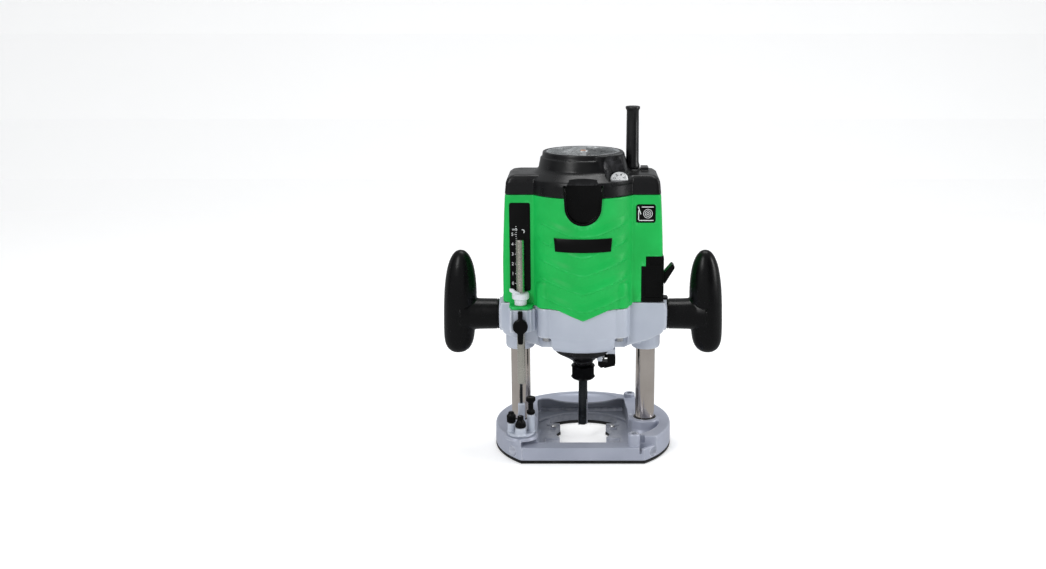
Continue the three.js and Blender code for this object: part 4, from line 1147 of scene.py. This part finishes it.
def fin(solid, start, end, half=2.0):
    """A sloping web from a column boss down to a clamp boss."""
    a, b = Vector(start), Vector(end)
    across = Vector((-(b - a).y, (b - a).x, 0)).normalized() * half
    foot = 8.0
    ends = []
    for point in (a, b):
        ends.append([(point - across).xy.to_tuple() + (foot,), (point + across).xy.to_tuple() + (foot,),
                     tuple(point + across), tuple(point - across)])
    solid.skin(ends)


def sub_base():
    piece = to_object("sole_plate", Solid().loft([(0, base_plan(0.8)), (0.8, base_plan()),
        (3.0, base_plan())]))
    cut(piece, Solid().prism(opening_plan(-0.4), -1, 5))
    for x, y in SOLE_SCREWS:
        cut(piece, Solid().turn([(4.6, -1), (4.4, 0.3), (2.6, 2.2), (2.6, 5)], x, y, 40))
    soften(piece, 0.3, 2)
    settle(piece, "base", SOLE, ["sub_base"])
    for i, (x, y) in enumerate(SOLE_SCREWS):
        node = f"sub_base_screw_{i + 1}"
        high = cad(node)[1]
        screw = Solid().turn([(3.4, 0.7), (4.0, 1.0), (2.2, 2.6), (2.0, 3.2), (2.0, high.z - 0.6),
            (1.5, high.z)], x, y, 40)
        piece = to_object(f"sole_screw_{i + 1}", screw)
        for wide, deep in ((2.3, 0.45), (0.45, 2.3)):
            cut(piece, Solid().box((x - wide, y - deep, 0), (x + wide, y + deep, 1.5)))
        settle(piece, "base", OXIDE, [node], 30)


def base_screws():
    for place, (x, y) in zip(("front", "rear"), BARS):
        node = f"guide_bar_screw_{place}"
        low, high = cad(node)
        grub = to_object(f"bar_clamp_{place}", Solid().turn([(2.2, low.z), (2.8, low.z + 0.6),
            (2.8, high.z - 0.5), (2.3, high.z)], x, y, 40))
        cut(grub, Solid().turn([(1.6, high.z - 3.6), (1.6, high.z + 1)], x, y, 6))
        settle(grub, "base", OXIDE, [node], 30)
    for side, word in ((-1, "left"), (1, "right")):
        node = f"template_screw_{word}"
        low, high = cad(node)
        x, y = side * 31.4, 11.0
        screw = to_object(f"guide_screw_{word}", Solid().turn([(1.8, low.z), (1.8, 11.1), (3.0, 11.1),
                                                            (3.0, 12.0), (2.5, high.z - 0.4),
                                                            (1.2, high.z)],
                                                            x, y, 40))
        cut(screw, Solid().box((x - 3.4, y - 0.35, high.z - 1.0), (x + 3.4, y + 0.35, high.z + 1)))
        settle(screw, "base", ZINC, [node], 30)


# ---- depth stop ----
TURRET_X, TURRET_Y, REACH = -63.0, -46.0, 10.0


def knurled(solid, profile, x, y, ribs, depth, sides_per_rib=6):
    """A turned form whose skirt carries vertical ribs."""
    count = ribs * sides_per_rib
    loops = []
    for radius, z, rough in profile:
        spin = [TURN * i / count for i in range(count)]
        loops.append([(x + (radius + depth * rough * math.cos(ribs * a)) * math.cos(a),
                       y + (radius + depth * rough * math.cos(ribs * a)) * math.sin(a), z) for a in spin])
    solid.skin(loops)


def turret():
    x, y, r = TURRET_X, TURRET_Y, REACH
    low, high = cad("turret_block")
    solid = Solid()
    solid.turn([(13.6, low.z), (14.0, low.z + 0.5), (14.0, 27.2), (13.2, 28.0)], x, y, 96)
    posts = (((x - r, y), 4.0, 36.4), ((x, y - r), 5.6, 35.0), ((x + r, y), 4.0, 45.5),
        ((x, y + r), 3.5, 54.2))
    for (px, py), radius, top in posts:
        solid.turn([(radius + 0.8, 27), (radius, 29), (radius, top - 0.5), (radius - 0.5, top)], px, py, 48)
    piece = fuse(to_object("turret_casting", solid), 0.45, 2)
    cut(piece, Solid().turn([(3.3, 0), (3.3, 40)], x, y, 40))
    thin(piece, 50000)
    settle(piece, "turret", BRACKET, ["turret_block"])
    bolt = to_object("turret_pivot_bolt", Solid().turn([(3.0, 8), (3.0, 28.3), (4.1, 28.3), (4.2, 30.6),
        (3.4, 31.5)], x, y, 48))
    cut(bolt, Solid().turn([(1.9, 29.6), (1.9, 33)], x, y, 6))
    settle(bolt, "turret", OXIDE, ["turret_bolt"], 30)
    black = (
        ("stop_screw_low", (x - r, y), 24, [(3.6, 0.3, 0), (4.3, 0.9, 1), (4.4, 7.6, 1), (3.9, 8.6, 0),
        (3.2, 9.4, 0), (2.9, 11.0, 0), (2.3, 11.4, 0)]),
        ("stop_screw_mid", (x, y - r), 20, [(5.0, 0.3, 0), (5.3, 0.9, 1), (4.9, 4.6, 1), (3.6, 7.2, 0),
        (3.1, 8.2, 0), (3.1, 11.4, 0), (2.5, 12.0, 0)]),
        ("stop_screw_high", (x + r, y), 22, [(3.5, 0.3, 0), (4.0, 0.9, 1), (3.9, 3.4, 1), (2.7, 5.4, 0),
                                             (2.6, 11.6, 0), (4.2, 13.8, 0), (4.6, 14.6, 1), (4.6, 17.6, 1),
                                             (4.0, 18.3, 0)]),
    )
    for node, (px, py), ribs, profile in black:
        low, high = cad(node)
        base = low.z - 0.3
        form = Solid()
        knurled(form, [(radius, base + z + 0.3, rough) for radius, z, rough in profile], px, py, ribs, 0.22)
        screw = to_object(node + "_knob", form)
        cut(screw, Solid().box((px - 6, py - 0.5, high.z - 1.2), (px + 6, py + 0.5, high.z + 1)))
        settle(screw, "turret", GLOSS_BLACK, [node], 35)
    low, high = cad("stop_pin")
    pin = Solid().turn([(1.35, low.z), (1.35, high.z - 0.6), (0.9, high.z)], middle("stop_pin").x,
        middle("stop_pin").y, 40)
    settle(to_object("stop_pin_rod", pin), "turret", CARBIDE, ["stop_pin"], 30)


def depth_pole():
    """A round rod with fine teeth cut down its left front, a dark groove beside them."""
    low, high = cad("depth_pole")
    x, y = middle("depth_pole").xy
    sides, pitch = 72, 1.5
    levels = [low.z, low.z + 0.6]
    z = low.z + 2.0
    while z < high.z - 2.4:
        levels += [z, z + 0.35, z + 0.75, z + 1.1]
        z += pitch
    levels += [high.z - 0.7, high.z]
    loops = []
    for k, level in enumerate(levels):
        inside = 2 <= k < len(levels) - 2 and level > low.z + 60
        tooth = inside and (k - 2) % 4 in (1, 2)
        loop = []
        for i in range(sides):
            a = TURN * i / sides
            radius = 4.0 if 0 < k < len(levels) - 1 else 3.5
            degrees = math.degrees(a)
            if tooth and 195 < degrees < 262:
                radius -= 0.45
            if inside and 264 < degrees < 276:
                radius -= 0.4
            loop.append((x + radius * math.cos(a), y + radius * math.sin(a), level))
        loops.append(loop)
    settle(to_object("depth_pole_rod", Solid().skin(loops)), "depth_pole", ROD,
        ["depth_pole"], 30)


def depth_indicator():
    low, high = cad("depth_indicator")
    x, y = middle("depth_pole").xy
    bottom = low.z
    solid = Solid()
    solid.turn([(5.8, bottom), (6.2, bottom + 0.4), (6.3, bottom + 5.4), (7.0, bottom + 6.0),
                (8.3, bottom + 6.6),
                (8.6, bottom + 7.2), (8.6, bottom + 11.6), (8.1, bottom + 12.3), (7.2, bottom + 12.6)], x,
                y, 72)
    flag = [(-73.2, high.z), (-73.2, high.z - 2.8), (-66.5, high.z - 7.6), (-62.5, high.z - 8.4),
            (-62.5, high.z - 4.2), (-67.4, high.z - 2.6),
            (-69.4, high.z - 0.6)]
    solid.slab(flag, y - 5.2, y - 2)
    piece = fuse(to_object("indicator_moulding", solid), 0.35, 1)
    cut(piece, Solid().turn([(4.35, 150), (4.35, 190)], x, y, 48))
    cut(piece, Solid().box((x - 12, -WING_Y - 0.8, 150), (x + 12, -WING_Y + 8, 190)))
    thin(piece, 30000)
    settle(piece, "depth_indicator", WHITE, ["depth_indicator"])


def wing_bolt():
    x = middle("depth_pole").x
    z = HANDLE_Z - 0.8
    solid = Solid()
    solid.lathe([(6.4, 0), (7.4, 0.1), (7.6, 0.25), (7.6, 0.8), (6.8, 1.0)], (x, -51.5, z), (x, -46, z), 72)
    wings = [(x - 2.6, z - 18.3), (x + 2.6, z - 18.3), (x + 2.9, z - 9), (x + 3.6, z), (x + 2.3, z + 9),
             (x + 2.5, z + 15.8), (x - 2.5, z + 15.8),
             (x - 2.3, z + 9), (x - 3.6, z), (x - 2.9, z - 9)]
    solid.slab(rounded(wings, 1.6), -50.4, -46.6)
    solid.rod(2.6, (x, -47, z), (x, -40.5, z), 40)
    piece = fuse(to_object("wing_bolt_knob", solid), 0.4, 3)
    thin(piece, 30000)
    settle(piece, "pole_wing_bolt", GLOSS_BLACK, ["pole_wing_bolt"])


# ---- switch ----
def switch():
    face = -31.2
    outline = rounded([(58.6, 159.7), (80.8, 159.7), (80.8, 205.8), (63.2, 205.8), (63.2, 195.8),
        (58.6, 195.8)], 0.8)
    solid = Solid().slab(outline, face, -12.7)
    piece = to_object("switch_case", solid)
    cut(piece, Solid().slab(rounded([(61, 164), (79.4, 164), (79.4, 194), (61, 194)], 1.4), face - 1,
        face + 1.2))
    cut(piece, Solid().slab(rounded([(66, 197.4), (79.6, 197.4), (79.6, 204.2), (66, 204.2)], 1), face - 1,
        face + 1.0))
    flange = Solid().prism(rounded([(78, -29.4), (84.0, -29.4), (85.6, -27), (85.6, -19), (84.0, -16.8),
        (78, -16.8)], 1.2), 161.2, 163.4)
    combine(piece, flange, "UNION")
    cut(piece, Solid().box((71, -28.2, 165.5), (82, -12, 200)))
    soften(piece, 0.4, 3)
    rocker = Solid().bar(rounded([(-30.8, 167), (-29.4, 191), (-28.4, 191), (-28.4, 167)], 0.5), 63.4, 77.2)
    settle(piece, "head", GLOSS_BLACK, ["switch_body"])
    settle(soften(to_object("switch_panel", rocker), 0.8, 3), "head", GLOSS_BLACK)
    outline = [(81.3, 177), (82.4, 177.2), (91.9, 193), (91.9, 195), (89.5, 197.3), (87.6, 195.4),
        (81.3, 187.8)]
    lever = Solid().slab(rounded(outline, 0.7), -26.8, -13.2)
    lever.slab(rounded([(76, 178), (76, 186), (83, 188), (83, 178)], 0.8), -24, -16)
    piece = fuse(to_object("switch_paddle", lever), 0.4, 2)
    thin(piece, 20000)
    settle(piece, "switch_lever", GLOSS_BLACK, ["switch_lever"])
    strip = Solid().slab([(82.4, 188.8), (82.8, 188.2), (88.2, 194.9), (87.8, 195.5)], -26.0, -14.0)
    strip_piece = soften(to_object("switch_paddle_edge", strip), 0.1, 2)
    settle(strip_piece, "switch_lever", ZINC)


# ---- spindle ----
def collet_nut():
    low, high = cad("collet_nut")
    bottom, top = low.z, high.z
    flats = 23.0 / 2
    rows = []
    profile = [(9.6, bottom, 0), (10.8, bottom + 0.6, 0), (12.8, bottom + 2.6, 0.2),
               (12.9, bottom + 3.6, 1),
               (12.9, top - 3.6, 1), (12.8, top - 2.8, 0.3), (11.6, top - 1.6, 0), (10.2, top - 1.0, 0),
               (10.0, top, 0)]
    for radius, z, hexed in profile:
        row = []
        for i in range(120):
            a = TURN * i / 120
            fold = (a + math.pi / 6) % (math.pi / 3) - math.pi / 6
            flat = min(radius, flats / math.cos(fold))
            row.append((radius * (1 - hexed) + flat * hexed, a, z))
        rows.append([(r * math.cos(a), r * math.sin(a), z) for r, a, z in row])
    piece = to_object("chuck_nut", Solid().skin(rows))
    cut(piece, Solid().turn([(8.3, bottom + 4.5), (8.3, top + 1)], sides=64))
    cut(piece, Solid().turn([(4.95, bottom - 5), (4.95, bottom + 8)], sides=64))
    settle(piece, "spindle", NUT_BLACK, ["collet_nut"], 30)


def router_bit():
    """A two-flute straight bit: a turned shank, and a body whose two flutes leave a web and two lands."""
    low, high = cad("router_bit")
    tip, top = low.z, high.z
    body_top = 61.0
    plan = []
    for half in (0, 180):
        edge = [Vector((5.3 * math.cos(math.radians(d)),
            5.3 * math.sin(math.radians(d)))) for d in range(-8, 100, 9)]
        hollow = [Vector((-1.2, 4.6)), Vector((-1.5, 2.6)), Vector((-2.4, 1.5)), Vector((-4.0, 1.0))]
        for p in edge + hollow:
            c, sn = math.cos(math.radians(half)), math.sin(math.radians(half))
            plan.append((p.x * c - p.y * sn, p.x * sn + p.y * c))
    twist = math.radians(35)
    plan = [(x * math.cos(twist) - y * math.sin(twist), x * math.sin(twist) + y * math.cos(twist)) for x,
        y in plan]
    solid = Solid().loft([(tip + 0.9, [(x * 0.86, y * 0.86) for x, y in plan]), (tip + 1.6, plan),
                          (body_top - 6, plan),
                          (body_top - 1, [(x * 0.9, y * 0.9) for x, y in plan])])
    solid.turn([(4.3, body_top - 7), (4.6, body_top - 5.5), (4.6, top - 0.6), (4.1, top)], sides=64)
    piece = fused_hard(solid, "straight_bit")
    tipped = Solid()
    for sign in (-1, 1):
        a = math.radians(35 - 8)
        edge_x, edge_y = sign * math.cos(a), sign * math.sin(a)
        side = Vector((-edge_y, edge_x, 0)) * -0.55
        near, far = Vector((edge_x, edge_y, 0)) * 2.2, Vector((edge_x, edge_y, 0)) * 5.3
        loop = [near, far, far + side, near + side]
        tipped.skin([[tuple(p)[:2] + (z,) for p in loop] for z in (tip, body_top - 16)])
    settle(piece, "spindle", CARBIDE, ["router_bit"], 30)
    settle(to_object("bit_cutting_edges", tipped), "spindle", ZINC)


# ---- stage ----
def stage():
    """A pale floor that curves up into a wall behind."""
    world = bpy.data.worlds.new("studio")
    bpy.context.scene.world = world
    world.use_nodes = True
    background = world.node_tree.nodes["Background"]
    background.inputs["Color"].default_value = (0.96, 0.98, 1.0, 1.0)
    background.inputs["Strength"].default_value = 0.42
    finish = Finish("pale_floor", 0.7, Specular_IOR_Level=0.1, Emission_Strength=0.34)
    finish.shader.inputs["Emission Color"].default_value = (1.0, 1.0, 1.0, 1.0)
    finish.colour(finish.mix(finish.noise(3.0), (0.90, 0.90, 0.90), (0.93, 0.93, 0.93)))
    side = [(-2600, -0.2), (1400, -0.2)] + [(1400 + r * 100, -0.2 + r * r * 10) for r in range(2, 12,
        2)] + [(2450, 2600)]
    floor = Solid().bar(side + [(2460, -30), (-2600, -30)], -3600, 3600)
    piece = to_object("studio_floor", floor)
    piece.data.transform(TO_FRAME)
    piece.data.materials.append(finish.material)
    piece.visible_glossy = False
    dull = Finish("dark_card", 0.9)
    dull.shader.inputs["Base Color"].default_value = (0.05, 0.05, 0.055, 1.0)
    for name, start, end in (("card_right", (380, -900), (900, -520)),
        ("card_left", (-1150, -260), (-1000, 60))):
        card = Solid().prism([start, end, (end[0] + 4, end[1] + 6), (start[0] + 4, start[1] + 6)], 0, 900)
        card_piece = to_object(name, card)
        card_piece.data.transform(TO_FRAME)
        card_piece.data.materials.append(dull.material)
        card_piece.visible_camera = card_piece.visible_diffuse = card_piece.visible_shadow = False


def light(name, place, aim, size, power, colour=(1, 1, 1)):
    data = bpy.data.lights.new(name, "AREA")
    data.shape = "RECTANGLE"
    data.size, data.size_y = size
    data.energy = power
    data.color = colour
    lamp = bpy.data.objects.new(name, data)
    bpy.context.scene.collection.objects.link(lamp)
    lamp.location = place
    lamp.rotation_euler = (Vector(aim) - Vector(place)).to_track_quat("-Z", "Y").to_euler()


def lights():
    aim = (0, 0, 0.17)
    light("key", (-0.8, -1.2, 1.1), aim, (0.45, 0.9), 11)
    light("fill", (1.5, -0.25, 0.6), aim, (0.35, 0.9), 8)
    light("top", (0.1, 0.25, 1.5), aim, (0.9, 0.5), 8)


def camera():
    data = bpy.data.cameras.new("camera")
    data.sensor_width = 36
    frame_width, frame_height = 1046, 569
    focal, principal = 1204.0, (583.0, 305.0)
    data.lens = 36 * focal / frame_width
    data.shift_x = -(principal[0] - frame_width / 2) / frame_width
    data.shift_y = (principal[1] - frame_height / 2) / frame_width
    view = bpy.data.objects.new("camera", data)
    bpy.context.scene.collection.objects.link(view)
    view.location = TO_FRAME @ Vector((0, -1204, 459))
    view.rotation_euler = (math.radians(90 - 14.47), 0, 0)
    bpy.context.scene.camera = view
    bpy.context.scene.view_settings.view_transform = "Standard"


FINISH_OF_SLOT = {
    "green_shell": GREEN, "black_plastic": BLACK, "grip_plastic": GRIP, "rubber_black": RUBBER,
    "bracket_casting": BRACKET, "base_casting": BASE_LACQUER_PAINTED_SHADE, "sole_plastic": SOLE, "label_black": LABEL,
    "polished_steel": CHROME, "zinc_steel": ZINC, "dark_steel": OXIDE, "white_plastic": WHITE,
    "laminations": SHEETS, "copper": COPPER, "carbon": CARBON,
}


def finish_cad_nodes():
    """Every node that isn't replaced keeps its shape, with its edges eased and its slot's finish."""
    slots = {part["node"]: part["material_slot"] for part in frame["record"]["subparts"]}
    for name, node in frame["nodes"].items():
        node.data.materials.clear()
        node.data.materials.append(FINISH_OF_SLOT[slots[name]])
        modifier(node, "WELD", merge_threshold=0.00001)
        modifier(node, "BEVEL", width=0.0004, segments=2, limit_method="ANGLE",
            angle_limit=math.radians(35))
        node.data.shade_smooth()


camera()
stage()
lights()
finish_cad_nodes()
for build in (housing, wrapped_plate, depth_scale, badge, tail_cover, front_pocket, speed_dial, cord_guard,
              vent_grille, motor_bracket,
              housing_screws, nose, spindle_lock, plunge_lever, grips, columns, springs, base_plate,
              sub_base, base_screws, turret, depth_pole,
              depth_indicator, wing_bolt, switch, collet_nut, router_bit):
    build()
